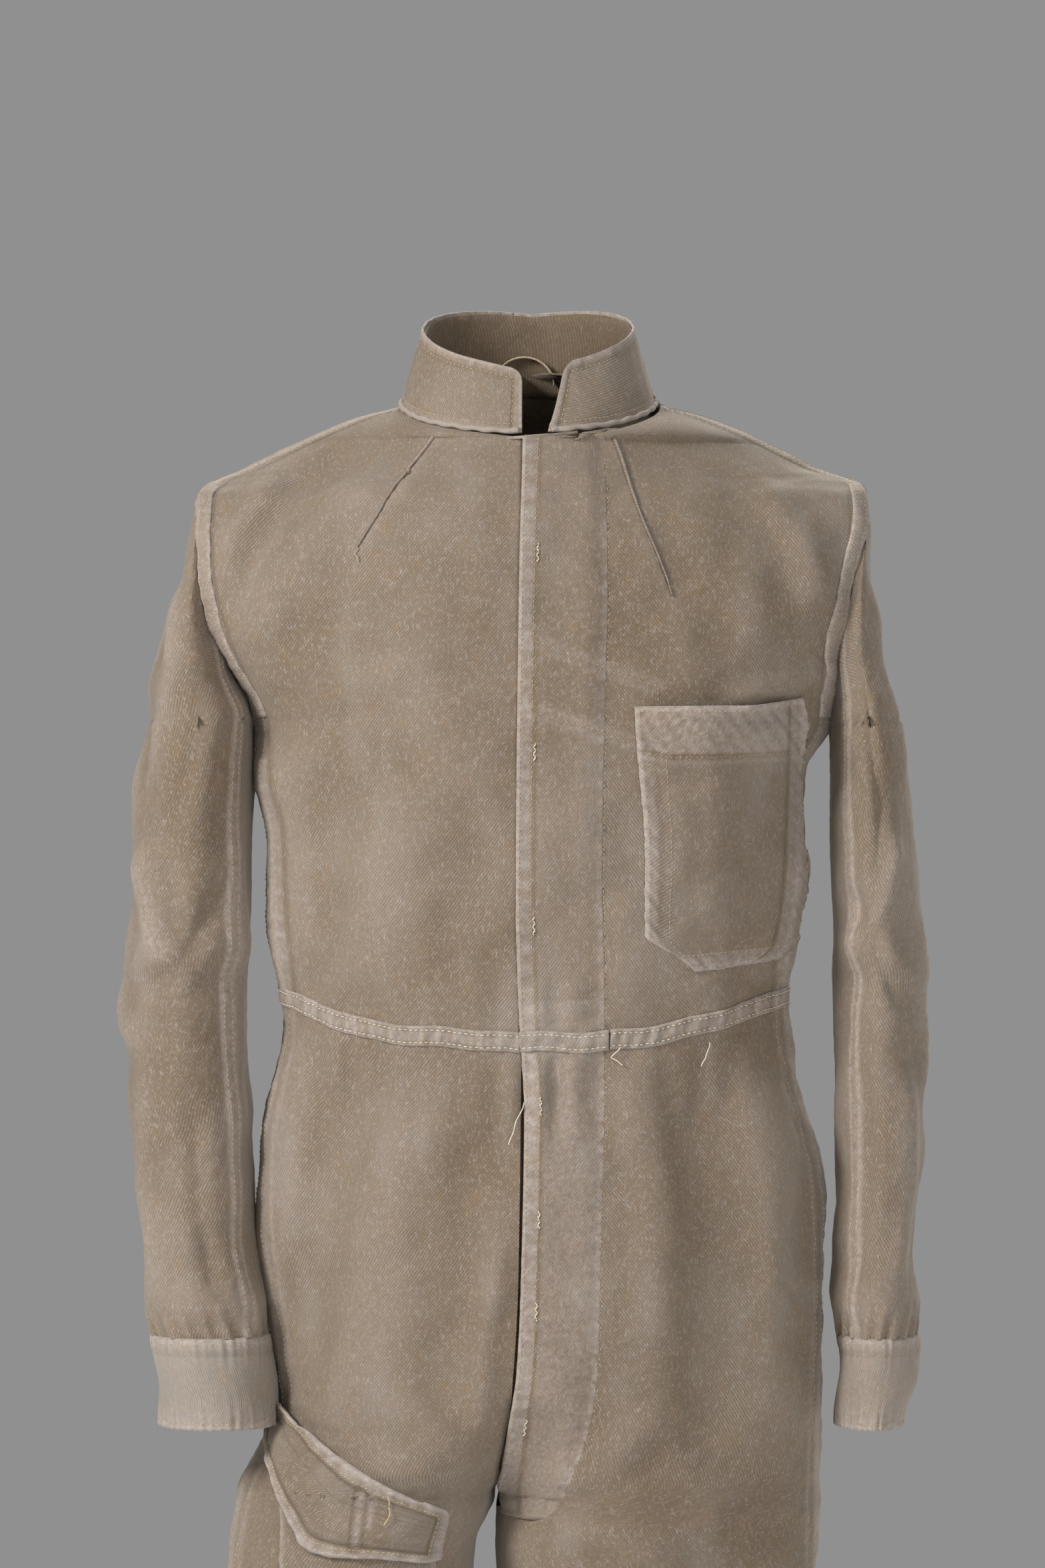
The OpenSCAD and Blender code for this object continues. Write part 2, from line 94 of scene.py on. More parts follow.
INSEAM = {R: [(-1520, -24), (-1000, -35), (-790, -37), (-746, -25)],
          L: [(-1520, 6), (-1000, -14), (-790, -27), (-746, -23)]}
FRONT_D = [(-1520, 64), (-1000, 94), (-790, 108), (-745, 112), (-660, 118), (-600, 121), (-520, 118),
           (-430, 113), (-300, 124), (-200, 126), (-150, 121), (-100, 112), (-60, 98), (-33, 85)]
BACK_D = [(-1520, 66), (-1000, 97), (-790, 110), (-745, 116), (-680, 124), (-600, 128), (-520, 116),
          (-430, 98), (-300, 108), (-225, 116), (-150, 118), (-80, 108), (-30, 84), (10, 59)]
FULLNESS = [(-1520, 2), (-800, 2), (-700, 2.3), (-260, 2.4), (-33, 1.7)]
ROUNDNESS = [(-1520, 0.5), (-260, 0.5), (-150, 0.7), (-33, 0.9)]
SLEEVE_W = {
    R: [(-702, 39), (-631, 39), (-523, 41), (-423, 41), (-292, 39), (-225, 35), (-157, 17.6),
        (-105, 6.2), (-74, 4), (-61, 2)],
    L: [(-702, 22), (-660, 26), (-606, 27), (-458, 30), (-387, 30), (-287, 28), (-228, 23),
        (-156, 12), (-113, 7), (-80, 4), (-61, 2)],
}
SLEEVE_X = {
    R: [(-702, 214), (-631, 221), (-596, 225), (-523, 231), (-423, 237), (-360, 234), (-292, 231.5),
        (-226, 226)],
    L: [(-702, 229), (-660, 235), (-606, 233), (-458, 236.5), (-387, 235), (-287, 231),
        (-226, 227)],
}
SLEEVE_D = [(-702, 50), (-600, 54), (-400, 66), (-225, 74), (-157, 68), (-130, 60), (-105, 50),
            (-74, 28), (-61, 4)]
SLEEVE_Y = [(-702, -22), (-400, -4), (-225, 0), (-61, 0)]


# --- Mathematics ------------------------------------------------------------------------------
def curve(x, table):
    """A smooth line through the stations of a table, level past its ends, with no overshoot."""
    t = np.array(table, float)
    xs, ys = t[:, 0], t[:, 1]
    h, d = np.diff(xs), np.diff(ys) / np.diff(xs)
    m = np.zeros(len(xs))
    same = d[:-1] * d[1:] > 0
    w1, w2 = 2 * h[1:] + h[:-1], h[1:] + 2 * h[:-1]
    with np.errstate(divide="ignore", invalid="ignore"):
        m[1:-1] = np.where(same, (w1 + w2) / (w1 / d[:-1] + w2 / d[1:]), 0)
    x = np.clip(x, xs[0], xs[-1])
    i = np.clip(np.searchsorted(xs, x) - 1, 0, len(h) - 1)
    s = (x - xs[i]) / h[i]
    return (ys[i] * (1 + 2 * s) * (1 - s) ** 2 + h[i] * m[i] * s * (1 - s) ** 2
            + ys[i + 1] * s * s * (3 - 2 * s) + h[i] * m[i + 1] * s * s * (s - 1))


def ramp(x, a, b):
    t = np.clip((x - a) / (b - a), 0, 1)
    return t * t * (3 - 2 * t)


def root(x):
    return np.sqrt(np.maximum(x, 0))


def bell(x, width):
    return np.exp(-((x / width) ** 2))


def even(n):
    return np.linspace(0, 1, n)


def unit(v):
    return v / np.maximum(np.linalg.norm(v, axis=-1, keepdims=True), 1e-12)


def runs(points):
    """How far along a line of points each one is."""
    return np.concatenate([[0], np.cumsum(np.linalg.norm(np.diff(points, axis=0), axis=1))])


def u_of(share):
    """The u of a share of the way from a panel's inner edge to its outer edge."""
    return np.arcsin(np.clip(share, 0, 1)) / (math.pi / 2)


def waves(points, size, seed, count=9):
    """Smooth noise from -1 to 1: a sum of sines that run in different directions."""
    rng = np.random.default_rng(seed)
    total = 0
    for _ in range(count):
        way = rng.normal(size=points.shape[-1])
        way *= 2 * math.pi / (size * rng.uniform(0.7, 1.6) * np.linalg.norm(way))
        total = total + np.sin(points @ way + rng.uniform(0, 2 * math.pi))
    return total / math.sqrt(count) / 1.4


def along(x, z, path):
    """Distance from a line of points, and how far along it from 0 to 1, for every (x, z)."""
    p = np.array(path, float)
    steps = np.linalg.norm(np.diff(p, axis=0), axis=1)
    total, run = steps.sum(), 0.0
    best, part = np.full(np.shape(x), 1e9), np.zeros(np.shape(x))
    for a, b, s in zip(p[:-1], p[1:], steps):
        t = np.clip(((x - a[0]) * (b[0] - a[0]) + (z - a[1]) * (b[1] - a[1])) / s ** 2, 0, 1)
        d = np.hypot(x - a[0] - t * (b[0] - a[0]), z - a[1] - t * (b[1] - a[1]))
        part = np.where(d < best, (run + t * s) / total, part)
        best = np.minimum(best, d)
        run += s
    return best, part


def fold(x, z, path, width, height):
    """A soft ridge (or, with a negative height, a furrow) along a line, that fades at its ends."""
    d, t = along(x, z, path)
    return height * bell(d, width) * ramp(t, 0, 0.22) * ramp(1 - t, 0, 0.3)


# --- The garment's surfaces, in mm ------------------------------------------------------------
def arm_angle(z):
    return 90 + 90 * np.clip((SHOULDER - z) / (SHOULDER - UNDERARM), 0, 1) ** 1.5


def arm_depth(z):
    inside = (z > UNDERARM) & (z < SHOULDER)
    return np.where(inside, curve(z, SLEEVE_D) * np.sin(np.radians(arm_angle(z))), 0)


def edge_x(side, z):
    return curve(z, EDGE[side])


def inner_x(side, z):
    return side * np.where(z > CROTCH, curve(z, MIDDLE), curve(z, INSEAM[side]))


def crotch_round(s, z):
    q = np.clip((-640 - z) / (-640 - CROTCH), 0, 1)
    return root(1 - (q * np.maximum(0, 1 - 2 * s)) ** 2)


def neck_x(z):
    return np.where(z < NECK_LOW, 0, COLLAR_W * root(1 - ((z + 9) / 25) ** 2))


def profile(s, z, inside, outside):
    k, n = curve(z, ROUNDNESS), curve(z, FULLNESS)
    return outside + (inside - outside) * np.maximum(1 - s ** n, 0) ** k


def waist_dip(s, z):
    """The waist seam hangs lower in front than at the sides."""
    return WAIST_DIP * (1 - s ** 2.5) * bell(z - WAIST, 95)


def front(side, u, z):
    s = np.sin(math.pi / 2 * u)
    xn = neck_x(z)
    xi = np.where(z < NECK_LOW, inner_x(side, z), xn)
    di = np.where(z < NECK_LOW, curve(z, FRONT_D), 14 + COLLAR_D * root(1 - (xn / COLLAR_W) ** 2))
    x = xi + (edge_x(side, z) - xi) * s
    y = -profile(s, z, di, arm_depth(z)) * crotch_round(s, z)
    return np.stack([side * x, y, z - waist_dip(s, z)], -1)


def back(side, u, z):
    s = np.sin(math.pi / 2 * u)
    xi = inner_x(side, z)
    xe = np.where(z > -9, COLLAR_W * root(1 - ((z + 9) / 24.2) ** 2), edge_x(side, z))
    x = xi + (xe - xi) * s
    y = profile(s, z, curve(z, BACK_D), np.where(z > -9, 14, arm_depth(z))) * crotch_round(s, z)
    return np.stack([side * x, y, z], -1)


def inmost(side, z):
    return np.where(z > NECK_LOW, neck_x(z), inner_x(side, z))


def across(side, x, z):
    """The u of a place across the front."""
    xi = inmost(side, z)
    return u_of((side * x - xi) / (edge_x(side, z) - xi))


def front_at(x, z):
    x, z = np.broadcast_arrays(np.asarray(x, float), np.asarray(z, float))
    left = x >= curve(z, MIDDLE)
    side_l, side_r = front(L, across(L, x, z), z), front(R, across(R, x, z), z)
    return np.where(left[..., None], side_l, side_r)


def sleeve(side, a, z):
    w, rad = curve(z, SLEEVE_W[side]), np.radians(a)
    above = edge_x(side, z) - w * np.cos(np.radians(arm_angle(z)))
    cx = np.where(z < UNDERARM, curve(z, SLEEVE_X[side]), above)
    return np.stack([side * (cx + w * np.cos(rad)), curve(z, SLEEVE_Y) - curve(z, SLEEVE_D) * np.sin(rad),
                     z + 0 * a], -1)


def armhole_z(a):
    turn = np.abs((a + 180) % 360 - 180)
    return SHOULDER + (UNDERARM - SHOULDER) * np.clip((turn - 90) / 90, 0, 1) ** (2 / 3)


def leg(side, a, z):
    u = u_of((1 - np.cos(np.radians(a))) / 2)
    is_front = (np.sin(np.radians(a)) >= 0)[..., None]
    return np.where(is_front, front(side, u, z), back(side, u, z))


def collar(a, v):
    rad = np.radians(a)
    lean = 1 - 0.17 * v
    rise = COLLAR_H + 10 * np.abs(np.sin(rad))
    return np.stack([-3 * (1 - np.cos(rad)) + COLLAR_W * lean * np.sin(rad),
                     -14 + COLLAR_D * lean * np.cos(rad) + 2 * v, -8 + 23 * np.cos(rad) + v * rise], -1)


# --- Folds of the hanging cloth, in mm along the surface's normal -----------------------------
# Each is a line of (across, height) points, its width and its height.
BODY_FOLDS = [
    ([(-120, -30), (-170, -58), (-203, -100), (-212, -150)], 9, 2.6),
    ([(-100, -28), (-150, -62), (-188, -112), (-202, -165)], 10, -2.2),
    ([(-84, -40), (-130, -85), (-172, -140), (-190, -200)], 15, 2.2),
    ([(-182, -229), (-166, -300), (-158, -360), (-158, -415)], 15, 4.5),
    ([(-130, -250), (-138, -330), (-133, -405)], 16, -3.4),
    ([(-60, -262), (-100, -330), (-122, -410)], 22, 3.4),
    ([(-20, -300), (-60, -370), (-80, -425)], 18, -2.2),
    ([(-110, -170), (-70, -215), (-30, -300)], 30, 1.8),
    ([(206, -185), (170, -200), (120, -215)], 8, 2.4),
    ([(200, -205), (165, -216), (130, -228)], 7, -2.2),
    ([(150, -60), (185, -110), (198, -165)], 12, 2.2),
    ([(120, -45), (160, -100), (180, -170)], 14, -1.8),
    ([(92, -142), (100, -180), (96, -212)], 14, 1.6),
    ([(178, -300), (168, -360), (150, -410)], 16, 3.6),
    ([(60, -330), (66, -380), (58, -428)], 14, 2.0),
    ([(110, -392), (120, -410), (118, -430)], 14, 2.4),
    ([(-150, -430), (-168, -500), (-178, -600), (-182, -690)], 20, 4.5),
    ([(-120, -440), (-140, -520), (-150, -620), (-140, -690)], 22, -4.0),
    ([(-60, -450), (-92, -540), (-112, -640), (-116, -700)], 26, 4.0),
    ([(-26, -480), (-44, -580), (-60, -680), (-50, -735)], 18, -3.0),
    ([(-20, -560), (-34, -640), (-36, -720)], 10, 3.4),
    ([(-30, -735), (-70, -690), (-120, -665)], 14, 2.8),
    ([(-36, -750), (-80, -760), (-130, -780)], 12, 2.4),
    ([(62, -440), (80, -520), (84, -620), (62, -700)], 20, 3.4),
    ([(110, -440), (122, -530), (128, -640), (110, -760)], 24, -3.6),
    ([(150, -430), (165, -520), (168, -620), (160, -740)], 20, 4.4),
    ([(186, -520), (176, -600), (178, -700)], 14, -3.0),
    ([(0, -745), (50, -720), (100, -665)], 14, 2.4),
    ([(4, -760), (50, -770), (110, -800)], 14, 2.6),
    ([(-60, -860), (-110, -930), (-150, -1030)], 26, 4.5),
    ([(40, -850), (90, -940), (120, -1060)], 28, -4.5),
    ([(120, -880), (150, -980), (150, -1100)], 24, 4.5),
    ([(-150, -1090), (-110, -1125), (-60, -1120)], 16, 4.5),
    ([(-160, -1150), (-110, -1175), (-60, -1160)], 16, -3.6),
    ([(150, -1100), (100, -1130), (40, -1120)], 16, 4.5),
    ([(150, -1160), (100, -1180), (40, -1170)], 15, -3.6),
    ([(-150, -1400), (-110, -1440), (-60, -1430)], 16, 4.5),
    ([(-140, -1470), (-100, -1490), (-40, -1475)], 13, 3.6),
    ([(140, -1410), (100, -1450), (30, -1435)], 16, 4.5),
    ([(140, -1478), (90, -1495), (30, -1480)], 12, 3.6),
]
BACK_FOLDS = [
    ([(-190, -170), (-120, -260), (-60, -400)], 22, 4.0),
    ([(190, -170), (120, -260), (60, -400)], 22, 4.0),
    ([(-120, -60), (-160, -120), (-190, -180)], 14, 2.6),
    ([(120, -60), (160, -120), (190, -180)], 14, 2.6),
    ([(0, -120), (10, -250), (0, -400)], 20, -3.0),
    ([(-60, -300), (-80, -370), (-70, -415)], 16, 3.4),
    ([(50, -310), (80, -370), (90, -415)], 16, 3.0),
    ([(-120, -430), (-110, -560), (-130, -720)], 26, 4.0),
    ([(120, -430), (100, -560), (130, -720)], 26, 4.0),
    ([(-40, -640), (-90, -700), (-160, -730)], 18, 4.5),
    ([(30, -650), (80, -710), (150, -740)], 18, 4.5),
    ([(-50, -760), (-90, -900), (-140, -1080)], 26, -4.0),
    ([(50, -760), (80, -900), (140, -1080)], 26, -4.0),
    ([(-150, -1100), (-100, -1130), (-50, -1110)], 16, 5.0),
    ([(150, -1105), (100, -1140), (40, -1120)], 16, 5.0),
    ([(-140, -1450), (-90, -1480), (-40, -1460)], 16, 4.5),
    ([(140, -1460), (90, -1490), (30, -1470)], 16, 4.5),
]


def drape(pos):
    """How far the cloth of the trunk and legs stands out of its plain surface."""
    x, y, z = pos[..., 0], pos[..., 1], pos[..., 2]
    forward = ramp(-y, -12, 18)
    h = sum(fold(x, z, *f) for f in BODY_FOLDS) * forward
    h = h + sum(fold(x, z, *f) for f in BACK_FOLDS) * (1 - forward)
    h = h + 1.3 * waves(pos, 90, 3) + 0.5 * waves(pos, 34, 5) + 0.14 * waves(pos, 12, 8)
    seam = WAIST - WAIST_DIP * forward * (1 - np.abs(x / 178) ** 2.5)
    beat = np.sin(x / 4.6 + 2.2 * np.sin(x / 19)) * (0.6 + 0.4 * np.sin(x / 31 + 1))
    h = h + beat * (1.5 * bell(z - seam + 34, 30) * ramp(seam - z, 4, 16)
                    + 0.7 * bell(z - seam - 24, 20) * ramp(z - seam, 4, 14))
    h = h + 3.0 * bell(z - seam - 46, 30) * ramp(np.abs(x), 20, 120)
    calm = ramp(-z, 30, 75) * 0.8 + 0.2
    return 9.5 * np.tanh(2.1 * h * calm / 9.5)


SLEEVE_FOLDS = {
    R: [([(40, -120), (60, -190), (30, -270)], 13, 3.4), ([(-30, -110), (-10, -230), (20, -330)], 16, 3.2),
        ([(100, -190), (70, -300), (88, -400)], 13, -3.0), ([(20, -300), (60, -370), (110, -410)], 12, 3.6),
        ([(130, -330), (95, -385), (30, -420)], 10, -3.0), ([(-40, -380), (10, -430), (60, -445)], 11, 3.0),
        ([(60, -450), (30, -540), (50, -625)], 14, 3.2), ([(100, -480), (96, -560), (110, -630)], 10, -2.6),
        ([(-20, -470), (-10, -560), (10, -630)], 15, -2.8),
        ([(140, -260), (150, -380), (146, -520)], 14, 3.0),
        ([(-80, -250), (-100, -380), (-60, -420)], 14, 3.4),
        ([(-120, -420), (-70, -500), (-90, -620)], 14, 3.2)],
    L: [([(30, -120), (50, -200), (20, -290)], 13, 3.2), ([(110, -180), (80, -280), (95, -380)], 12, -3.0),
        ([(60, -290), (90, -350), (140, -390)], 11, 3.2), ([(140, -330), (90, -390), (40, -425)], 10, -3.0),
        ([(10, -340), (30, -420), (10, -500)], 14, 3.2), ([(60, -450), (50, -540), (70, -630)], 14, 3.0),
        ([(120, -440), (110, -540), (130, -620)], 12, -2.6),
        ([(-60, -240), (-90, -370), (-50, -430)], 14, 3.4),
        ([(-110, -430), (-70, -520), (-90, -620)], 14, 3.2),
        ([(-10, -520), (0, -580), (-20, -640)], 12, -2.6)],
}


def sleeve_drape(side, a, z, pos):
    """Folds of a sleeve, as lines of (angle, height)."""
    a = (a + 180) % 360 - 180
    h = sum(fold(a * 0.9, z, [(p * 0.9, q) for p, q in path], w, d) for path, w, d in SLEEVE_FOLDS[side])
    h = h + 1.1 * waves(pos, 70, 21 + side) + 0.5 * waves(pos, 30, 23) + 0.15 * waves(pos, 11, 25)
    pucker = np.sin(a / 3.1 + z / 7) * bell(z - CUFF - 3, 16) * 0.9
    h = h + pucker + 2.2 * bell(z - CUFF - 24, 18)
    return 1.55 * h * (0.25 + 0.75 * ramp(-z, 70, 130)) * ramp(z, WRIST - 6, WRIST + 34)


# --- Meshes -----------------------------------------------------------------------------------
class Cloth:
    """A surface with folds: base(p, q) gives its plain place, turn says which way is out."""

    def __init__(self, base, turn, shape=None, out=0.0):
        self.base, self.turn, self.shape, self.out = base, turn, shape, out

    def plain(self, p, q):
        e, g = 1e-3 * self.span[0], 1e-3 * self.span[1]
        lo, hi = self.limits
        p0, p1 = (p - e, p + e) if self.closed else (np.maximum(p - e, lo), np.minimum(p + e, hi))
        n = np.cross(self.base(p1, q) - self.base(p0, q), self.base(p, q + g) - self.base(p, q - g))
        return self.base(p, q), unit(n) * self.turn

    def cover(self, ps, qs, closed=False):
        self.limits = (min(ps[0], ps[-1]), max(ps[0], ps[-1]))
        self.span = (abs(ps[-1] - ps[0]), abs(qs[-1] - qs[0]))
        self.closed = closed
        return self

    def at(self, p, q, lift=0.0):
        """Places on the folded surface, and the way out of it."""
        p, q = np.broadcast_arrays(np.asarray(p, float), np.asarray(q, float))
        pos, n = self.plain(p, q)
        h = self.out + lift + (self.shape(p, q, pos) if self.shape else 0)
        return pos + n * np.asarray(h)[..., None], n


def add_mesh(name, verts, faces, material, smooth=True):
    mesh = bpy.data.meshes.new(name)
    mesh.from_pydata((np.asarray(verts) * MM).tolist(), [], faces)
    mesh.materials.append(material)
    obj = bpy.data.objects.new(name, mesh)
    bpy.context.scene.collection.objects.link(obj)
    mesh.polygons.foreach_set("use_smooth", [smooth] * len(mesh.polygons))
    return obj


def quads(n, m, closed, start=0, flip=False):
    i, j = np.meshgrid(np.arange(n if closed else n - 1), np.arange(m - 1))
    k = (i + 1) % n
    f = np.stack([j * n + i, j * n + k, (j + 1) * n + k, (j + 1) * n + i], -1).reshape(-1, 4) + start
    return f[:, ::-1] if flip else f


def capped(sides, rings):
    """The faces of a round form: its sides and both ends."""
    last = (rings - 1) * sides
    return quads(sides, rings, True).tolist() + [list(range(sides))[::-1], list(range(last, last + sides))]


def mark(obj, name, values, kind="FLOAT", field="value"):
    """Stores a value at every vertex, for the material to read."""
    data = obj.data.attributes.new(name, kind, "POINT").data
    data.foreach_set(field, np.asarray(values, np.float32).ravel())


def panel(name, cloth, ps, qs, material, thick=CLOTH, closed=False, wear_and_shade=None, centre=0.0, joined=False):
    """A sheet of cloth with two faces and a rim. UVs are in metres along the cloth."""
    cloth.cover(ps, qs, closed)
    p, q = np.meshgrid(ps, qs)
    outer, _ = cloth.at(p, q)
    n, m = len(ps), len(qs)
    wide = np.concatenate([outer, outer[:, :1]], 1) if closed else outer
    dp = (np.roll(outer, -1, 1) - np.roll(outer, 1, 1)) if closed else np.gradient(outer, axis=1)
    dq = np.gradient(outer, axis=0)
    way = cloth.turn * np.sign(qs[-1] - qs[0] or 1) * np.sign(ps[-1] - ps[0])
    normal = unit(np.cross(dp, dq)) * way
    if joined:                      # the shading carries on into the next piece
        step_q = 0.5 * np.gradient(qs)[:, None]
        down = cloth.at(p, q + step_q)[0] - cloth.at(p, q - step_q)[0]
        shade = unit(np.cross(dp, down))
        normal = shade * np.sign((shade * normal).sum(-1, keepdims=True))
    inner = outer - normal * thick
    verts = np.concatenate([outer.reshape(-1, 3), inner.reshape(-1, 3)])
    b = n * m
    flip = way < 0
    faces = [quads(n, m, closed, 0, flip), quads(n, m, closed, b, not flip)]

    def rim(near, far, turned):
        f = np.stack([near, b + near, b + far, far], -1)
        faces.append(f[:, ::-1] if turned else f)
    ring, column = np.arange(n if closed else n - 1), np.arange(m - 1) * n
    for row, turned in ((0, flip), (m - 1, not flip)):
        rim(row * n + ring, row * n + (ring + 1) % n, turned)
    if not closed:
        for c, turned in ((0, not flip), (n - 1, flip)):
            rim(column + c, column + n + c, turned)
    obj = add_mesh(name, verts, np.concatenate(faces).tolist(), material)
    if joined:
        obj.data.normals_split_custom_set_from_vertices(np.concatenate(
            [normal.reshape(-1, 3), -normal.reshape(-1, 3)]).tolist())
    # UVs: arc length across from the centre line, and down.
    step = np.linalg.norm(np.diff(wide, axis=1), axis=-1)
    u = np.concatenate([np.zeros((m, 1)), np.cumsum(step, 1)], 1)
    u = u - u[:, -1:] * centre
    down = np.linalg.norm(np.diff(outer, axis=0), axis=-1).mean(1)
    v = -np.concatenate([[0], np.cumsum(down)]) * np.sign(qs[0] - qs[-1])
    uv = np.stack([u[:, :n], np.repeat(v[:, None], n, 1)], -1).reshape(-1, 2) * MM
    uv = np.concatenate([uv, uv])
    loops = np.zeros(len(obj.data.loops), int)
    obj.data.loops.foreach_get("vertex_index", loops)
    layer = obj.data.uv_layers.new(name="UVMap")
    data = uv[loops]
    if closed:                      # the last column of faces reaches round to the first
        girth = u[:, n] * MM
        poly = data.reshape(-1, 4, 2)
        wrapped = (poly[:, :, 0].max(1) - poly[:, :, 0].min(1)) > 0.5 * girth.mean()
        rows = (loops.reshape(-1, 4) % b) // n
        first = poly[:, :, 0] < 0.25 * girth.mean() + uv[:, 0].min()
        poly[:, :, 0] += np.where(wrapped[:, None] & first, girth[rows], 0)
        data = poly.reshape(-1, 2)
    layer.data.foreach_set("uv", data.astype(np.float32).ravel())
    # The wear field: positive values are pale wear, negative values are painted shade in furrows and beside
    # seams; stored as the wear attribute.
    w = wear_and_shade(p, q, outer) if wear_and_shade else np.zeros(p.shape)
    w = np.concatenate([np.broadcast_to(w, p.shape).ravel()] * 2)
    mark(obj, "wear", w)
    mark(obj, "rest", verts * MM, "FLOAT_VECTOR", "vector")
    obj["size"] = [float(u[:, n if closed else n - 1].max() - u.min()) * MM, float(np.abs(v).max()) * MM]
    diagonals = outer[1:, 1:] - outer[:-1, :-1], outer[1:, :-1] - outer[:-1, 1:]
    area = 0.5 * np.linalg.norm(np.cross(*diagonals), axis=-1)
    obj["area"] = float(area.sum()) * MM * MM * (n / (n - 1) if closed else 1)
    return obj


def stitches(name, cloth, p, q, material, length=2.5, gap=1.1, radius=0.27, lift=0.1):
    """A row of separate stitches along the line p, q on a folded surface."""
    p, q = np.broadcast_arrays(np.asarray(p, float), np.asarray(q, float))
    line, _ = cloth.at(p, q)
    run = runs(line)
    starts = np.arange(0.5, run[-1] - length, length + gap)
    if len(starts) < 1:
        return None
    rng = np.random.default_rng(len(name) + int(run[-1]))
    starts = starts + rng.normal(0, 0.12, len(starts))
    at = starts[:, None] + even(4)[None] * length
    pos, n = cloth.at(np.interp(at, run, p), np.interp(at, run, q))
    up = n[:, 1]
    side = np.cross(unit(pos[:, -1] - pos[:, 0]), up)
    rise = np.array([-0.25, 1, 1, -0.25]) * lift + np.array([-0.2, 0.15, 0.15, -0.2])
    fat = np.array([0.55, 1, 1, 0.55]) * radius
    ang = np.arange(5) * 2 * math.pi / 5
    jitter = rng.normal(0, 0.1, (len(starts), 1, 1))
    ringed = (pos[:, :, None] + up[:, None, None] * rise[None, :, None, None]
              + side[:, None, None] * (np.cos(ang)[None, None, :, None] * fat[None, :, None, None])
              + up[:, None, None] * (np.sin(ang)[None, None, :, None] * fat[None, :, None, None])
              + side[:, None, None] * jitter[..., None])
    one = capped(5, 4)
    faces = [[20 * k + v for v in face] for k in range(len(starts)) for face in one]
    return add_mesh(name, ringed.reshape(-1, 3), faces, material)


def tube(name, pts, radius, material, sides=8):
    """A round rod along a line of points, with closed ends."""
    pts = np.asarray(pts, float)
    t = unit(np.gradient(pts, axis=0))
    a = unit(np.cross(t, (0.0, 0.31, 0.95)))
    b = np.cross(t, a)
    ang = np.arange(sides) * 2 * math.pi / sides
    r = np.broadcast_to(radius, len(pts))
    verts = (pts[:, None] + r[:, None, None] * (np.cos(ang)[None, :, None] * a[:, None]
             + np.sin(ang)[None, :, None] * b[:, None])).reshape(-1, 3)
    obj = add_mesh(name, verts, capped(sides, len(pts)), material)
    mark(obj, "wear", [0.75] * len(verts))
    return obj


# --- Materials --------------------------------------------------------------------------------
class Nodes:
    """A short way to write a material's nodes."""

    def __init__(self, name):
        self.mat = bpy.data.materials.new(name)
        self.mat.use_nodes = True
        self.tree = self.mat.node_tree
        self.shader = self.tree.nodes["Principled BSDF"]

    def new(self, kind, **sockets):
        node = self.tree.nodes.new(kind)
        for key, value in sockets.items():
            if hasattr(node, key):
                setattr(node, key, value)
        return node

    def put(self, socket, value):
        if hasattr(value, "is_output"):
            self.tree.links.new(value, socket)
        else:
            socket.default_value = value

    def math(self, how, a, b=0.0, c=0.0, clamp=False):
        node = self.new("ShaderNodeMath", operation=how, use_clamp=clamp)
        for socket, value in zip(node.inputs, (a, b, c)):
            self.put(socket, value)
        return node.outputs[0]

    def dot(self, a, b):
        node = self.new("ShaderNodeVectorMath", operation="DOT_PRODUCT")
        self.put(node.inputs[0], a)
        self.put(node.inputs[1], b)
        return node.outputs["Value"]

    def stretch(self, a, b):
        node = self.new("ShaderNodeVectorMath", operation="MULTIPLY")
        self.put(node.inputs[0], a)
        self.put(node.inputs[1], b)
        return node.outputs[0]

    def noise(self, where, scale, detail=3.0, rough=0.55):
        node = self.new("ShaderNodeTexNoise")
        self.put(node.inputs["Vector"], where)
        self.put(node.inputs["Scale"], scale)
        self.put(node.inputs["Detail"], detail)
        self.put(node.inputs["Roughness"], rough)
        return node.outputs[0]

    def step(self, x, lo, hi, to_lo=0.0, to_hi=1.0):
        node = self.new("ShaderNodeMapRange", interpolation_type="SMOOTHSTEP")
        keys = "Value", "From Min", "From Max", "To Min", "To Max"
        for key, value in zip(keys, (x, lo, hi, to_lo, to_hi)):
            self.put(node.inputs[key], value)
        return node.outputs[0]

    def times(self, a, b):
        return self.math("MULTIPLY", a, b)

    def plus(self, a, b):
        return self.math("ADD", a, b)

    def set(self, **sockets):
        """Values for the shader: Sheen_Weight stands for the socket Sheen Weight."""
        for key, value in sockets.items():
            self.put(self.shader.inputs[key.replace("_", " ")], value)

    def bump(self, height, strength, distance):
        bump = self.new("ShaderNodeBump")
        bump.inputs["Strength"].default_value = strength
        bump.inputs["Distance"].default_value = distance
        self.put(bump.inputs["Height"], height)
        self.set(Normal=bump.outputs[0])

    def mix(self, share, a, b):
        node = self.new("ShaderNodeMix", data_type="RGBA")
        self.put(node.inputs["Factor"], share)
        self.put(node.inputs[6], a)
        self.put(node.inputs[7], b)
        return node.outputs[2]


def tint(colour, r=1.0, g=1.0, b=1.0):
    return (colour[0] * r, colour[1] * g, colour[2] * b, 1)


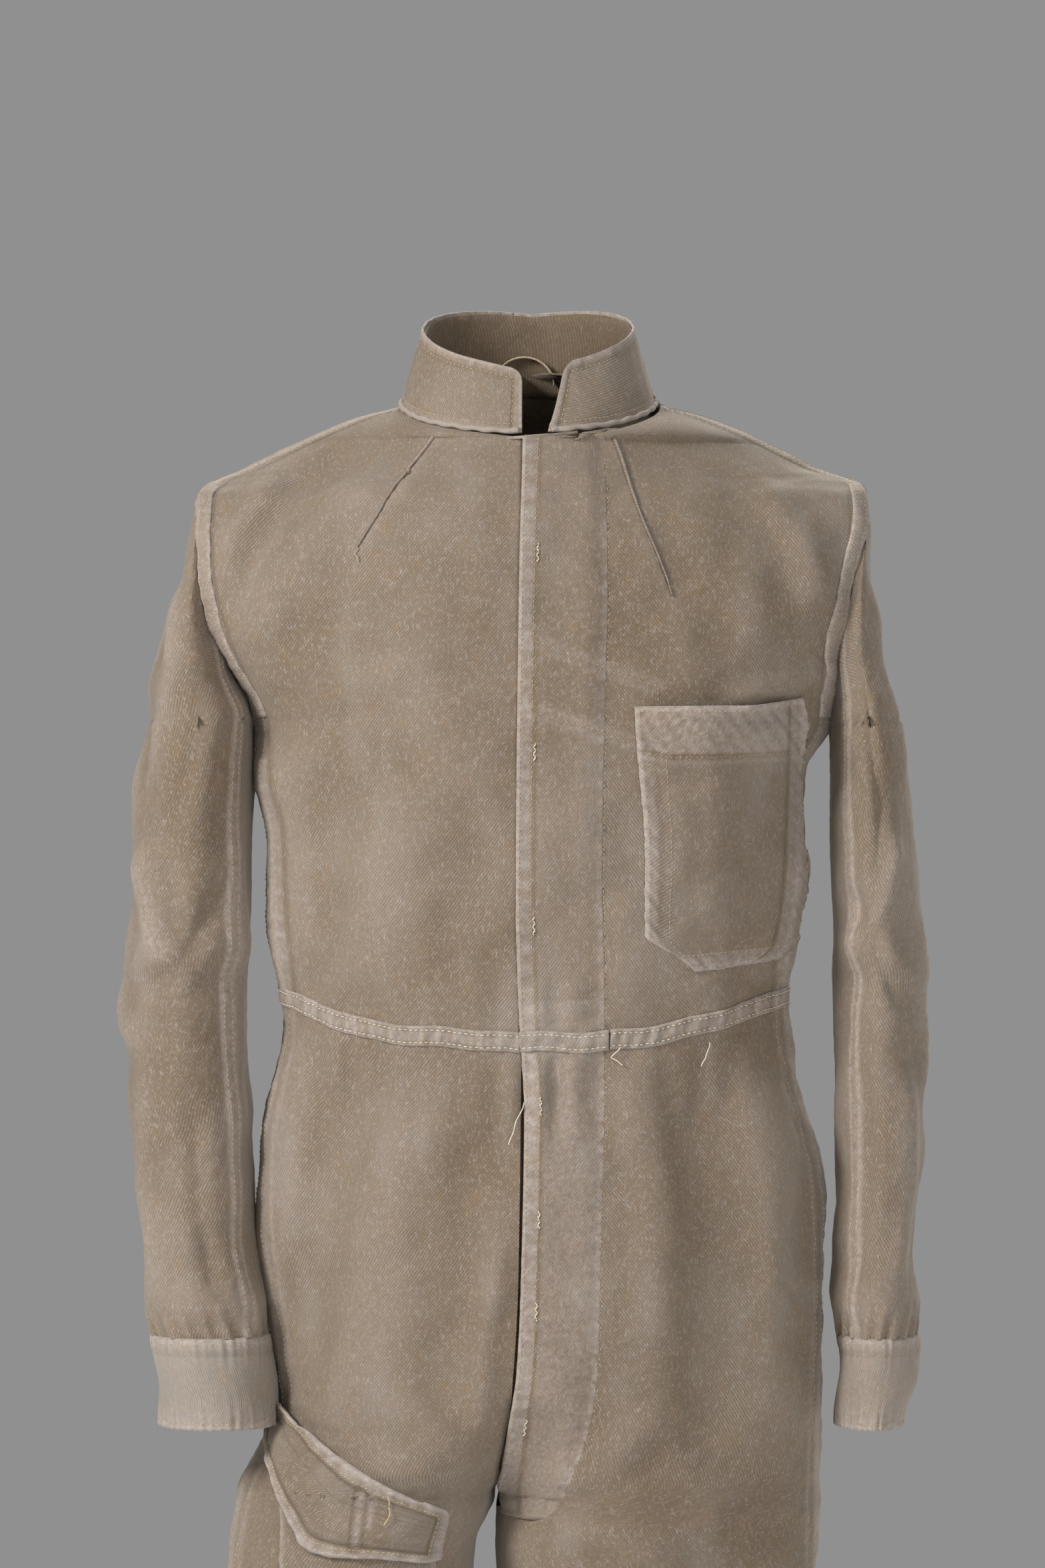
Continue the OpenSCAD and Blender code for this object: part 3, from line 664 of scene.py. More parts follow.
def twill(name, base, pale, dark, angle, pitch=1.75, wear=1.0):
    """Faded cotton twill: slanting ribs, pale slubs, mottled colour and pale rubbed ridges, with painted
    shade where the wear attribute is negative.
    """
    n = Nodes(name)
    uv = n.new("ShaderNodeUVMap", uv_map="UVMap").outputs[0]
    rad = math.radians(angle)
    wobble = n.times(n.noise(uv, 160.0, 2.0), 0.0011)
    cross = n.dot(uv, (math.cos(rad), math.sin(rad), 0.0))
    rib = n.math("SINE", n.times(n.plus(cross, wobble), 2 * math.pi / (pitch * MM)))
    rib = n.math("MULTIPLY_ADD", rib, 0.5, 0.5)
    thread = n.noise(n.stretch(uv, (2600.0, 900.0, 1.0)), 1.0, 2.0)
    slub = n.noise(n.stretch(uv, (850.0, 130.0, 1.0)), 1.0, 3.0, 0.65)
    rest = n.new("ShaderNodeAttribute", attribute_name="rest").outputs["Vector"]
    cloudy = n.noise(rest, 5.0, 4.0, 0.6)
    mottle = n.noise(rest, 60.0, 6.0, 0.68)
    broad = n.noise(n.stretch(rest, (1.0, 1.0, 0.4)), 22.0, 4.0)
    colour = n.mix(n.step(cloudy, 0.34, 0.66), tint(dark), tint(base))
    colour = n.mix(n.step(broad, 0.46, 0.74, 0.0, 0.42), colour, tint(pale))
    colour = n.mix(n.step(mottle, 0.5, 0.72, 0.0, 0.6), colour, tint(base, 1.10, 0.92, 0.72))
    speck = n.noise(rest, 430.0, 6.0, 0.8)
    colour = n.mix(n.step(speck, 0.50, 0.66, 0.0, 0.75), colour, tint(pale, 1.1, 1.12, 1.15))
    fine = n.plus(n.times(rib, 0.60), n.times(thread, 0.8))
    colour = n.mix(n.step(fine, 0.30, 1.12, 0.62, 0.0), colour, tint(dark, 0.62, 0.60, 0.56))
    colour = n.mix(n.step(slub, 0.54, 0.74, 0.0, 0.62), colour, tint(pale, 1.16, 1.16, 1.2))
    # The wear attribute holds real wear where positive and painted shade where negative.
    wear_and_shade = n.new("ShaderNodeAttribute", attribute_name="wear").outputs["Fac"]
    rubbed = n.times(wear_and_shade, n.step(n.noise(uv, 240.0, 4.0, 0.7), 0.30, 0.70, 0.35, 1.0))
    colour = n.mix(n.math("MULTIPLY", rubbed, 0.72 * wear, clamp=True), colour,
                   tint(pale, 1.36, 1.34, 1.38))
    # Painted shade: negative wear values darken furrows, stitch lines and the feet of raised seam edges.
    colour = n.mix(n.step(wear_and_shade, -1.0, -0.02, 0.75, 0.0), colour, tint(dark, 0.30, 0.27, 0.25))
    n.set(Base_Color=colour, Roughness=n.step(thread, 0.3, 0.7, 0.86, 0.96), Specular_IOR_Level=0.18,
          Sheen_Weight=0.22, Sheen_Roughness=0.55, Sheen_Tint=(0.95, 0.88, 0.78, 1))
    height = n.plus(n.times(rib, 0.55), n.times(thread, 0.5))
    height = n.plus(n.plus(height, n.times(slub, 0.5)), n.times(mottle, 1.2))
    n.bump(height, 0.55, 0.00035)
    return n.mat


def cotton(name, tone, pale):
    """Sewing thread: a twisted strand, paler and darker along its length."""
    n = Nodes(name)
    where = n.new("ShaderNodeTexCoord").outputs["Object"]
    colour = n.mix(n.step(n.noise(where, 380.0, 2.0), 0.35, 0.65), tint(tone), tint(pale))
    n.set(Base_Color=colour, Roughness=n.step(n.noise(where, 900.0), 0.3, 0.7, 0.7, 0.9), Sheen_Weight=0.2)
    n.bump(n.noise(where, 2600.0, 1.0), 0.4, 0.0001)
    return n.mat


def hard(name, tone, rough, metal=0.0):
    """Buttons and hooks: mottled, rubbed at random."""
    n = Nodes(name)
    where = n.new("ShaderNodeTexCoord").outputs["Object"]
    spots = n.noise(where, 420.0, 4.0)
    n.set(Base_Color=n.mix(n.step(spots, 0.35, 0.7), tint(tone, 0.6, 0.6, 0.6), tint(tone)), Metallic=metal,
          Roughness=n.step(n.noise(where, 900.0, 3.0), 0.3, 0.7, rough - 0.12, rough + 0.15))
    n.bump(spots, 0.2, 0.0001)
    return n.mat


KHAKI = (0.252, 0.200, 0.150)
PALE = (0.345, 0.306, 0.272)
DARK = (0.188, 0.136, 0.088)
INSIDE = (0.170, 0.126, 0.086)
BODY = twill("twill_body", KHAKI, PALE, DARK, 38)
BODY_LEVEL = twill("twill_level", KHAKI, PALE, DARK, 84, 2.0)
BODY_RISING = twill("twill_rising", KHAKI, PALE, DARK, -40)
EDGES = twill("twill_edges", (0.262, 0.218, 0.178), PALE, DARK, 38, wear=1.2)
CUFFS = twill("twill_cuffs", (0.300, 0.262, 0.226), PALE, KHAKI, 8)
LINING = twill("twill_inside", INSIDE, KHAKI, (0.16, 0.115, 0.075), 38)
TAPE = cotton("tape", (0.42, 0.33, 0.22), (0.52, 0.43, 0.30))
TAN = cotton("thread_tan", (0.40, 0.29, 0.17), (0.52, 0.41, 0.27))
CREAM = cotton("thread_cream", (0.62, 0.54, 0.40), (0.74, 0.67, 0.54))
YELLOW = cotton("thread_yellow", (0.52, 0.38, 0.16), (0.62, 0.49, 0.25))
BUTTON = hard("button_brown", (0.16, 0.09, 0.045), 0.42)
HOOK = hard("hook_metal", (0.33, 0.31, 0.28), 0.45, 0.85)


def place(obj, body, *nodes, to=None, start=None, end=None, sheet=True):
    """Puts a piece on its body, or, when given a body to follow (to), only bakes its transform into the mesh.
    """
    if obj is None:
        return
    if to:
        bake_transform(obj)
    else:
        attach(obj, body)
    if nodes:
        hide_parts(*nodes)


def sew(name, cloth, p, q, body="torso", thread=TAN, bend=None, **look):
    """A row of stitches, in its place."""
    place(stitches(name, cloth, p, q, thread, **look), body, **(bend or {}))


BOLD = dict(thread=CREAM, length=2.9, gap=1.0, radius=0.36, lift=0.2)          # the waist's stitches
GOLD = dict(thread=YELLOW, length=2.2, gap=1.2, radius=0.3, lift=0.15)         # the flap's stitches


# --- Lines on the front -----------------------------------------------------------------------
def free_edge(z):
    return curve(z, [(-745, -21), (-709, -17), (-658, -11), (-594, -8), (-481, -6), (-428, -9),
                     (-343, -11.5), (-114, -9), (-33, -7)])


def stitch_edge(z):
    """The overlap's second stitch line, which ends in a J at the crotch."""
    return curve(z, [(-765, 2), (-758, 13), (-748, 20), (-722, 31), (-696, 39), (-658, 44), (-594, 46),
                     (-446, 49), (-320, 47), (-126, 51), (-30, 50)])


def neckline(x):
    return -9 - 25 * root(1 - (x / COLLAR_W) ** 2)


STRAP_TOP = [(-12, -170), (7, -174.5), (48, -192), (83, -202.5)]
STRAP_LOW = [(-12, -216), (3, -220), (48, -234.5), (67, -240.5)]


def strap_relief(x, z):
    hi = np.interp(x, *np.array(STRAP_TOP).T)
    low = np.interp(x, *np.array(STRAP_LOW).T)
    inside = ramp(hi - z, -0.5, 1.5) * ramp(z - low, -0.5, 1.5) * ramp(86 - x, 0, 3)
    ends = 0
    for line in (STRAP_TOP, STRAP_LOW):
        d, _ = along(x, z, line)
        ends = ends - 0.5 * bell(d, 1.6) + 0.35 * bell(d - 3.4, 2.2)
    return 0.55 * inside + ends


def pucker(run, seed, size=8.0):
    """Tiny gathers along a line of stitches."""
    slow = np.sin(run * 2 * math.pi / size + 1.7 * np.sin(run / 13 + seed))
    return 0.5 * slow + 0.5 * np.sin(run / 2.3 + seed)


def rhythm(run, seed, size=9.0):
    """Pale and dark by turns, where a washed seam has puckered."""
    return 0.35 + 0.75 * np.clip(0.5 + 0.7 * pucker(run, seed, size), 0, 1)


DART_LIFT = 1.125
DARTS = [((-66.5, -34.5), (-117.5, -110)), ((54, -35), (92, -142))]


def dart_relief(x, z):
    h = 0
    for a, b in DARTS:
        d, t = along(x, z, [a, b])
        side = (x - a[0]) * (b[1] - a[1]) - (z - a[1]) * (b[0] - a[0])
        h = h + 1.5 * bell(d, 9) * np.where(side * a[0] > 0, 1, 0.3) * ramp(1 - t, 0, 0.2)
    return h


def edge_relief(side, pos, band=9.0, height=0.85):
    """The felled seam along a panel's outer edge, with its two furrows of stitches."""
    d = edge_x(side, pos[..., 2]) - side * pos[..., 0]
    ridge = height * ramp(band + 1.5 - d, 0, 2.0)
    furrow = -0.28 * (bell(d - 1.8, 0.9) + bell(d - band + 1.2, 0.9))
    return ridge + furrow + 0.22 * pucker(pos[..., 2], side) * ramp(band + 8 - d, 0, 9)


def rubbed(pos):
    """Wear on the crests of the folds."""
    return 0.1 * np.maximum(drape(pos), 0) / 3


def front_shape(side):
    def shape(u, z, pos):
        x, zz = pos[..., 0], pos[..., 2]
        h = drape(pos) + edge_relief(side, pos) + dart_relief(x, zz)
        return h + (strap_relief(x, zz) if side == L else 0)
    return shape


def edge_u(side, z, inset):
    """The u of a line that runs a distance inside a front or back panel's outer edge."""
    xi = inmost(side, z)
    return u_of((edge_x(side, z) - inset - xi) / (edge_x(side, z) - xi))


def edge_wear_and_shade(side, extra=None):
    def wear_and_shade(p, q, pos):
        d = edge_x(side, pos[..., 2]) - side * pos[..., 0]
        w = 0.75 * bell(d - 1, 2.2) + 0.55 * ramp(9 - d, 0, 2) * rhythm(pos[..., 2], side, 8)
        # Painted shadow: a dark line at the foot of the felled seam's raised band.
        w = w - 0.6 * bell(d - 10.5, 1.6)
        for a, b in DARTS:
            w = w + 0.25 * bell(along(pos[..., 0], pos[..., 2], [a, b])[0], 5)
        if extra:
            w = w + extra(pos)
        return np.clip(w + rubbed(pos), -0.8, 1)
    return wear_and_shade


def strap_worn(pos):
    x, z = pos[..., 0], pos[..., 2]
    w = 0
    for line in (STRAP_TOP, STRAP_LOW):
        w = w + 0.34 * bell(along(x, z, line)[0] - 3.0, 2.6)
    return w * ramp(90 - x, 0, 4)


# --- Bodice -----------------------------------------------------------------------------------
FINE = 2.6                         # the mesh step on the pieces that are seen from close by, mm


def heights(top, low, step=FINE):
    return np.linspace(top, low, max(4, int(abs(top - low) / step)))


def shoulder_rows(low):
    """Heights from the neck's side to low, closer together at the shoulder."""
    return np.concatenate([np.linspace(-9.3, -70, 34), heights(-70, low)[1:]])


def bodice():
    rows = shoulder_rows(WAIST - 1)
    right = Cloth(lambda u, z: front(R, u, z), -1, front_shape(R))
    place(panel("bodice_front_right", right, even(78), rows, BODY, wear_and_shade=edge_wear_and_shade(R)),
          "torso", "bodice_front_right")

    def start(z):
        return np.where(z < -29.5, across(L, stitch_edge(z) - 9, z), 0)
    left = Cloth(lambda u, z: front(L, start(z) + (1 - start(z)) * u, z), 1, front_shape(L), out=-0.3)
    place(panel("bodice_front_left", left, even(66), rows, BODY, wear_and_shade=edge_wear_and_shade(L, strap_worn)),
          "torso", "bodice_front_left", "chest_strap")
    backs = {}
    rows_b = np.concatenate([np.linspace(15.0, -9.3, 12)[:-1], rows])
    for side, tag in SIDES:
        def shape(u, z, pos, side=side):
            centre = 0.8 * ramp(8 - np.abs(pos[..., 0] - side * 2), 0, 3) * (side == L)
            return drape(pos) + edge_relief(side, pos) + centre
        backs[side] = Cloth(lambda u, z, side=side: back(side, u, z), -side, shape)
        place(panel(f"bodice_back_{tag}", backs[side], even(64), rows_b, BODY, wear_and_shade=edge_wear_and_shade(side)), "torso",
              f"bodice_back_{tag}")
    z = np.linspace(-12, WAIST, 260)
    for (side, tag), cloth in zip(SIDES, (right, left)):
        hidden = start(z) if side == L else 0
        for where, skin, c in (("", cloth, hidden), ("back_", backs[side], 0)):
            for k, inset in enumerate((1.8, 7.8)):
                sew(f"{where}edge_stitches_{tag}_{k}", skin, (edge_u(side, z, inset) - c) / (1 - c), z)
    z = np.linspace(6, WAIST, 200)
    for k, x in enumerate((1.5, 7.0)):
        share = (x - inner_x(L, z)) / (edge_x(L, np.minimum(z, NECK)) - inner_x(L, z))
        sew(f"centre_back_stitches_{k}", backs[L], u_of(share), z)
    return left, start


def dart_wear_and_shade(p, q, pos):
    # Pale along the tuck's ridge; painted shade darkens both sides where it meets the bodice.
    return 0.75 * bell(q - 0.5, 0.25) - 0.9 * bell(q, 0.2) - 0.9 * bell(1 - q, 0.2)


def darts():
    """Each dart is a tuck that stands up as a narrow ridge and tapers to nothing at its end; the knot at its
    end is not drawn.
    """
    for k, (a, b) in enumerate(DARTS):
        # way points across the dart.
        way = np.array([b[1] - a[1], a[0] - b[0]], float) / math.hypot(b[0] - a[0], b[1] - a[1])

        def base(p, q, a=a, b=b, way=way):
            wide = (q - 0.5) * 3.4 * (1 - 0.55 * p)
            return front_at_dipped(a[0] + (b[0] - a[0]) * p + way[0] * wide + 0.8 * np.sin(p * 9),
                                   a[1] + (b[1] - a[1]) * p + way[1] * wide)

        def shape(p, q, pos):
            tuck = 1.4 * root(np.sin(math.pi * np.clip(q, 0, 1))) * ramp(1 - p, 0, 0.15)
            return drape(pos) + DART_LIFT + tuck * ramp(p, -0.05, 0.02)
        turn = 1 if way[1] * (b[0] - a[0]) - way[0] * (b[1] - a[1]) > 0 else -1
        cloth = Cloth(base, turn, shape)
        place(panel(f"dart_{k}", cloth, even(90), even(9), BODY, thick=2.2, wear_and_shade=dart_wear_and_shade), "torso",
              sheet=False)


def front_line(side, start, xs, zs):
    """u, z of a line of points on a front panel (its z before the waist's dip)."""
    z = zs + waist_dip(np.sin(math.pi / 2 * across(side, xs, zs)), zs)
    return (across(side, xs, z) - start(z)) / (1 - start(z)), z


def resample(points, n=60):
    p = np.array(points, float)
    run = runs(p)
    t = np.linspace(0, run[-1], n)
    return np.interp(t, run, p[:, 0]), np.interp(t, run, p[:, 1])


# --- Overlap, fly and button stand ------------------------------------------------------------
def overlap_shape(x, q, pos):
    xx, z = pos[..., 0], pos[..., 2]
    lo, hi = free_edge(z), stitch_edge(z)
    t = np.clip((xx - lo) / np.maximum(hi - lo, 1), 0, 1)
    step = 2.3 * (1 - ramp(t, 0.72, 1.0)) + 0.25
    rim = 0.5 * ramp(5.0 - (xx - lo), 0, 1.6) - 0.45 * bell(xx - lo - 10, 1.1) - 0.75 * bell(hi - xx, 1.4)
    ripple = 0.9 * pucker(z, 2, 12) * bell(xx - lo - 4, 9) + 0.7 * pucker(z, 5, 9) * bell(hi - xx - 4, 7)
    gape = 2.6 * bell(z + 690, 55) * (1 - t) ** 2 + 1.2 * bell(z + 120, 60) * (1 - t) ** 2
    beat = 0.9 * np.sin(z / 13 + 2 * np.sin(z / 47)) * bell(xx - lo, 18)
    return drape(pos) + step + rim + ripple + gape + beat + strap_relief(xx, z) * ramp(1 - t, 0, 0.05)


def overlap_wear_and_shade(p, q, pos):
    x, z = pos[..., 0], pos[..., 2]
    lo, hi = free_edge(z), stitch_edge(z)
    w = bell(x - lo, 2.0) + 0.6 * ramp(11 - (x - lo), 0, 2) * rhythm(z, 2, 12)
    # Painted shade: a dark line beside the inner stitch row's furrow, and another along the stitched edge
    # where the overlap steps down.
    w = w - 0.7 * bell(x - lo - 11.5, 1.3)
    w = w + 0.6 * bell(hi - x - 2.2, 2.0) * rhythm(z, 5, 9) + 0.14 - 0.6 * bell(hi - x, 1.0)
    return np.clip(w + strap_worn(pos) + 0.25 * (z < WAIST) + rubbed(pos), -0.8, 1)


def overlap():
    split = WAIST - WAIST_DIP
    low_top, low_end = split + 4, -762

    def between(p, z):
        return front_at_dipped(free_edge(z) + (stitch_edge(z) - free_edge(z)) * p, z)

    def neck_z(p):
        return neckline(free_edge(-40) + 58 * p) + 1.5

    def upper(p, q):
        return between(p, neck_z(p) + (split - 1 - neck_z(p)) * q)

    def lower(p, q):
        return between(p, low_top + (low_end - low_top) * q)
    top, low = Cloth(upper, -1, overlap_shape), Cloth(lower, -1, overlap_shape)
    bend_top = dict(to="front_overlap", start=(0, -0.1, -0.055), end=(0, -0.1, OVERLAP_TOP * MM))
    bend_low = dict(to="front_overlap", start=(0, -0.1, -0.745), end=(0, -0.1, FLY_END * MM))
    look = dict(thick=1.7, wear_and_shade=overlap_wear_and_shade, centre=1.0)
    place(panel("overlap_bodice", top, even(30), even(165), BODY, **look), "torso",
          "overlap_bodice", "placket_top", "buttonhole_strip_bodice", **bend_top)
    place(panel("overlap_fly", low, even(30), even(130), BODY, **look), "torso", "overlap_fly", "fly_end",
          "buttonhole_strip_fly", **bend_low)
    q = np.linspace(0.004, 0.994, 300)
    for cloth, bend, tag in ((top, bend_top, "bodice"), (low, bend_low, "fly")):
        z = cloth.base(np.full(300, 0.5), q)[:, 2]
        wide = stitch_edge(z) - free_edge(z)
        sew(f"overlap_stitches_{tag}_0", cloth, np.clip(10 / np.maximum(wide, 12), 0, 0.9), q, bend=bend)
        sew(f"overlap_stitches_{tag}_1", cloth, 0.995, q, bend=bend)
        sew(f"overlap_edge_stitches_{tag}", cloth, 0.035, q, bend=bend)
    # The strap's stitches cross the overlap.
    for k, line in enumerate((STRAP_TOP, STRAP_LOW)):
        x, z = resample(line[:3])
        q = (z - neck_z(0.5)) / (split - 1 - neck_z(0.5))
        p = (x - free_edge(z)) / (stitch_edge(z) - free_edge(z))
        good = (p > 0.01) & (p < 0.99)
        sew(f"strap_stitches_overlap_{k}", top, p[good], q[good], bend=bend_top)
    # Pale bar tacks where the hidden buttonholes are caught down.
    for k, z in enumerate((-114, -246, -362, -482, -557, -618, -695)):
        above = z > split
        cloth, bend = (top, bend_top) if above else (low, bend_low)
        z0, z1 = (neckline(21) + 1.5, split - 1) if above else (low_top, low_end)
        q = (np.linspace(z + 6, z - 6, 14) - z0) / (z1 - z0)
        pts, _ = cloth.at(0.20 + 0.012 * np.sin(np.arange(14) * 1.3 + k), q, lift=0.5)
        place(tube(f"bar_tack_{k}", pts, 0.42, CREAM, sides=6), "torso", **bend)


def felled(v, height):
    """A flat seam across v from 0 to 1, with two furrows of stitches."""
    furrows = bell(v - 0.2, 0.06) + bell(v - 0.8, 0.06)
    return height * ramp(v, 0, 0.12) * ramp(1 - v, 0, 0.12) - 0.5 * furrows


def overlap_band():
    """The waist seam runs on across the overlap."""
    def base(p, v):
        z = WAIST - WAIST_DIP + 7 - 14 * v + np.sin(p * 7)
        return front_at_dipped(free_edge(z) - 0.5 + (stitch_edge(z) - free_edge(z) + 1.5) * p, z)

    def shape(p, v, pos):
        crimp = 0.42 * np.sin(pos[..., 0] / 1.9 + 3 * v)
        return drape(pos) * 0.95 + 3.1 - 1.6 * ramp(p, 0.72, 1) + felled(v, 1.3) + crimp

    def wear_and_shade(p, v, pos):
        return np.clip(0.5 + 0.5 * bell(v, 0.1) + 0.5 * bell(1 - v, 0.1), 0, 1)
    cloth = Cloth(base, -1, shape)
    place(panel("overlap_band", cloth, even(50), even(16), EDGES, thick=1.6,
                wear_and_shade=wear_and_shade), "front_overlap", sheet=False)
    for k, v in enumerate((0.2, 0.8)):
        sew(f"overlap_band_stitches_{k}", cloth, np.linspace(0.01, 0.99, 120), v, "front_overlap", **BOLD)


def front_at_dipped(x, z):
    """The front at a place across and a true height, with the waist's dip taken out."""
    x, z = np.broadcast_arrays(np.asarray(x, float), np.asarray(z, float))
    q = z
    for _ in range(3):
        s = np.where(x >= curve(q, MIDDLE), x / edge_x(L, q), -x / edge_x(R, q))
        q = z + waist_dip(np.clip(s, 0, 1), q)
    return front_at(x, q)


def under_overlap():
    """The button stand and the fly shield, which the overlap hides when it is shut; the buttons are made in
    buttons().
    """
    def stand(p, q):
        z = -50 + (WAIST - 20 + 50) * q
        return front_at_dipped(free_edge(z) - 6 + 52 * p, z)

    def shield(p, q):
        z = WAIST - 16 + (-738 - WAIST + 16) * q
        return front_at_dipped(free_edge(z) - 26 + (66 - 26 * q) * p, z)

    def shape(p, q, pos):
        return drape(pos) * 0.9
    hidden = ("button_stand", stand, -2.2, 16, 90), ("fly_shield", shield, -4.6, 18, 80)
    for node, base, out, cols, rows in hidden:
        cloth = Cloth(base, -1, shape, out=out)
        place(panel(node, cloth, even(cols), even(rows), LINING, thick=1.5), "torso", node)


def lathe(name, rings, centre, material, sides=40):
    """A round piece that faces forward: rings of (radius, how far forward)."""
    ang = np.arange(sides) * 2 * math.pi / sides
    verts = [[centre[0] + r * math.cos(t), centre[1] - f, centre[2] + r * math.sin(t)]
             for r, f in rings for t in ang]
    return add_mesh(name, verts, capped(sides, len(rings)), material)


def buttons():
    lo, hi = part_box("buttons")
    lo, hi = np.array(lo) / MM, np.array(hi) / MM
    r = (hi[0] - lo[0]) / 2
    rings = [(r * 0.75, 0), (r, 0.5), (r, 1.4), (r * 0.86, 2.0), (r * 0.74, 1.5), (r * 0.3, 1.2), (0.4, 1.2)]
    for k in range(8):
        at = front_at_dipped(20.0, -84 - 80 * k)
        at = at + np.array([0, 3.9 - float(drape(at)), 0])
        place(lathe(f"button_{k}", rings, at, BUTTON), "torso", "buttons")
        for j, (dx, dz) in enumerate(((1, 1), (-1, -1))):
            tilt = dz * (1 if j else -1)
            pts = [at + np.array([dx * 1.7 * s, -1.35 - 0.5 * math.cos(s * 1.4), tilt * 1.7 * s])
                   for s in np.linspace(-1, 1, 9)]
            place(tube(f"button_thread_{k}_{j}", pts, 0.4, CREAM, sides=6), "torso")


# --- Chest pocket -----------------------------------------------------------------------------
POCKET_LEFT = [(-214, 67), (-320, 74), (-369, 73), (-393, 93)]
POCKET_RIGHT = [(-214, 183), (-320, 180), (-376, 172), (-390, 160)]


def pocket_sides(z):
    return curve(z, POCKET_LEFT[::-1]), curve(z, POCKET_RIGHT[::-1])


def pocket_point(p, q):
    top = -216 + 6.5 * p
    low = np.interp(p, [0, 0.10, 0.82, 0.93, 1], [-369, -393, -385, -381, -371])
    z = top + (low - top) * q
    x0, x1 = pocket_sides(z)
    return x0 + (x1 - x0) * np.sin(math.pi / 2 * p) ** 0.92, z


def chest_pocket():
    def base(p, q):
        return front_at_dipped(*pocket_point(p, q))

    def shape(p, q, pos):
        x, z = pos[..., 0], pos[..., 2]
        x0, x1 = pocket_sides(z)
        d = np.minimum(np.minimum(x - x0, x1 - x), 160 * (1 - q))
        hem = ramp(q, 0, 0.012) * (1 - ramp(q, 0.185, 0.20)) * 0.8
        furrow = -0.5 * bell(q - 0.192, 0.008) - 0.4 * bell(d - 2, 1.2) - 0.35 * bell(d - 8.5, 1.2)
        h = 1.5 + hem + furrow + 6.5 * ramp(d, 6, 48) * (1 - 0.55 * q) + 2.6 * bell(q, 0.16) * ramp(d, 2, 22)
        h = h + fold(x, z, [(84, -235), (98, -290), (92, -350)], 9, 2.4)
        h = h + fold(x, z, [(150, -230), (140, -300), (152, -360)], 12, -2.6)
        h = h + fold(x, z, [(110, -330), (130, -365), (160, -375)], 9, 1.8)
        h = h + 0.9 * pucker(z + 1.3 * x, 3, 7.5) * np.clip(ramp(12 - d, 0, 8) + bell(q - 0.1, 0.09), 0, 1)
        return h + drape(pos) * 0.9

    def wear_and_shade(p, q, pos):
        x, z = pos[..., 0], pos[..., 2]
        x0, x1 = pocket_sides(z)
        d = np.minimum(x - x0, x1 - x)
        beat = rhythm(z + 1.3 * x, 3, 7.5)
        border = ramp(9.5 - d, 0, 2) + ramp(q, -0.01, 0.0) * (1 - ramp(q, 0.17, 0.2)) + ramp(q, 0.93, 0.95)
        w = bell(d, 2.2) + 0.95 * bell(q, 0.016) + bell(1 - q, 0.018) + 0.55 * np.clip(border, 0, 1) * beat
        # A pale line below the hem; painted shade darkens the hem's stitch furrow and a line just inside the
        # side stitch bands.
        w = w + 0.3 * bell(q - 0.21, 0.012) - 0.9 * bell(q - 0.192, 0.006) - 0.7 * bell(d - 10.5, 1.2)
        return np.clip(w + 0.1, -0.8, 1)
    cloth = Cloth(base, -1, shape)
    place(panel("chest_pocket", cloth, even(60), even(76), EDGES, thick=1.0, wear_and_shade=wear_and_shade),
          "torso", "chest_pocket")
    ends = np.linspace(0.015, 0.985, 120)
    inside = np.linspace(0.2, 0.94, 120)
    rows = {"hem": (ends, 0.192), "top": (ends, 0.02), "left": (0.012, ends), "left_in": (0.085, inside),
            "right": (0.988, ends), "right_in": (0.88, inside), "low": (ends, 0.985),
            "low_in": (np.linspace(0.085, 0.88, 120), 0.94)}
    for tag, (p, q) in rows.items():
        sew(f"chest_pocket_stitches_{tag}", cloth, p, q)


# --- Waist ------------------------------------------------------------------------------------
def waist_band(side, tag, where, surface):
    """The felled seam between the bodice and the trousers, with two rows of cream stitches."""
    x0 = across(L, HINGE_X + 1, np.array(WAIST)) if (side, where) == (L, "front") else 0.0

    def base(u, v):
        u = x0 + (1 - x0) * u
        s = np.sin(math.pi / 2 * u)           # the seam is guided by hand, so it wanders a little
        return surface(side, u, WAIST + 1.2 * np.sin(s * 9 + side) + 0.6 * np.sin(s * 23) + 7.0 - 14.0 * v)

    def shape(u, v, pos):
        run = pos[..., 0]
        crimp = 0.6 * np.sin(run / 1.9 + 3 * v + 2 * np.sin(run / 11)) * (bell(v - 0.5, 0.5) + 0.3)
        return 0.6 + felled(v, 1.7) + crimp + 0.95 * drape(pos)

    def wear_and_shade(u, v, pos):
        lines = bell(v - 0.2, 0.08) + bell(v - 0.8, 0.08)
        edges = 0.5 * bell(v, 0.1) + 0.5 * bell(1 - v, 0.1)
        # Painted shade: lines marks the two stitch furrows, which are darkened.
        return np.clip(0.75 * rhythm(pos[..., 0], 4, 6) + edges - 0.5 * lines, -0.5, 1)
    cloth = Cloth(base, -side if where == "front" else side, shape)
    node = f"waist_band_{tag}" if where == "front" else "waist_band_back"
    place(panel(f"waist_band_{where}_{tag}", cloth, even(150), even(16), EDGES, thick=2.0, wear_and_shade=wear_and_shade),
          "torso", node, sheet=False)
    for k, v in enumerate((0.20, 0.80)):
        sew(f"waist_stitches_{where}_{tag}_{k}", cloth, np.linspace(0.004, 0.996, 400), v, **BOLD)


# --- Trousers ---------------------------------------------------------------------------------
KNEE_TOP, KNEE_END = -1060.0, -1200.0


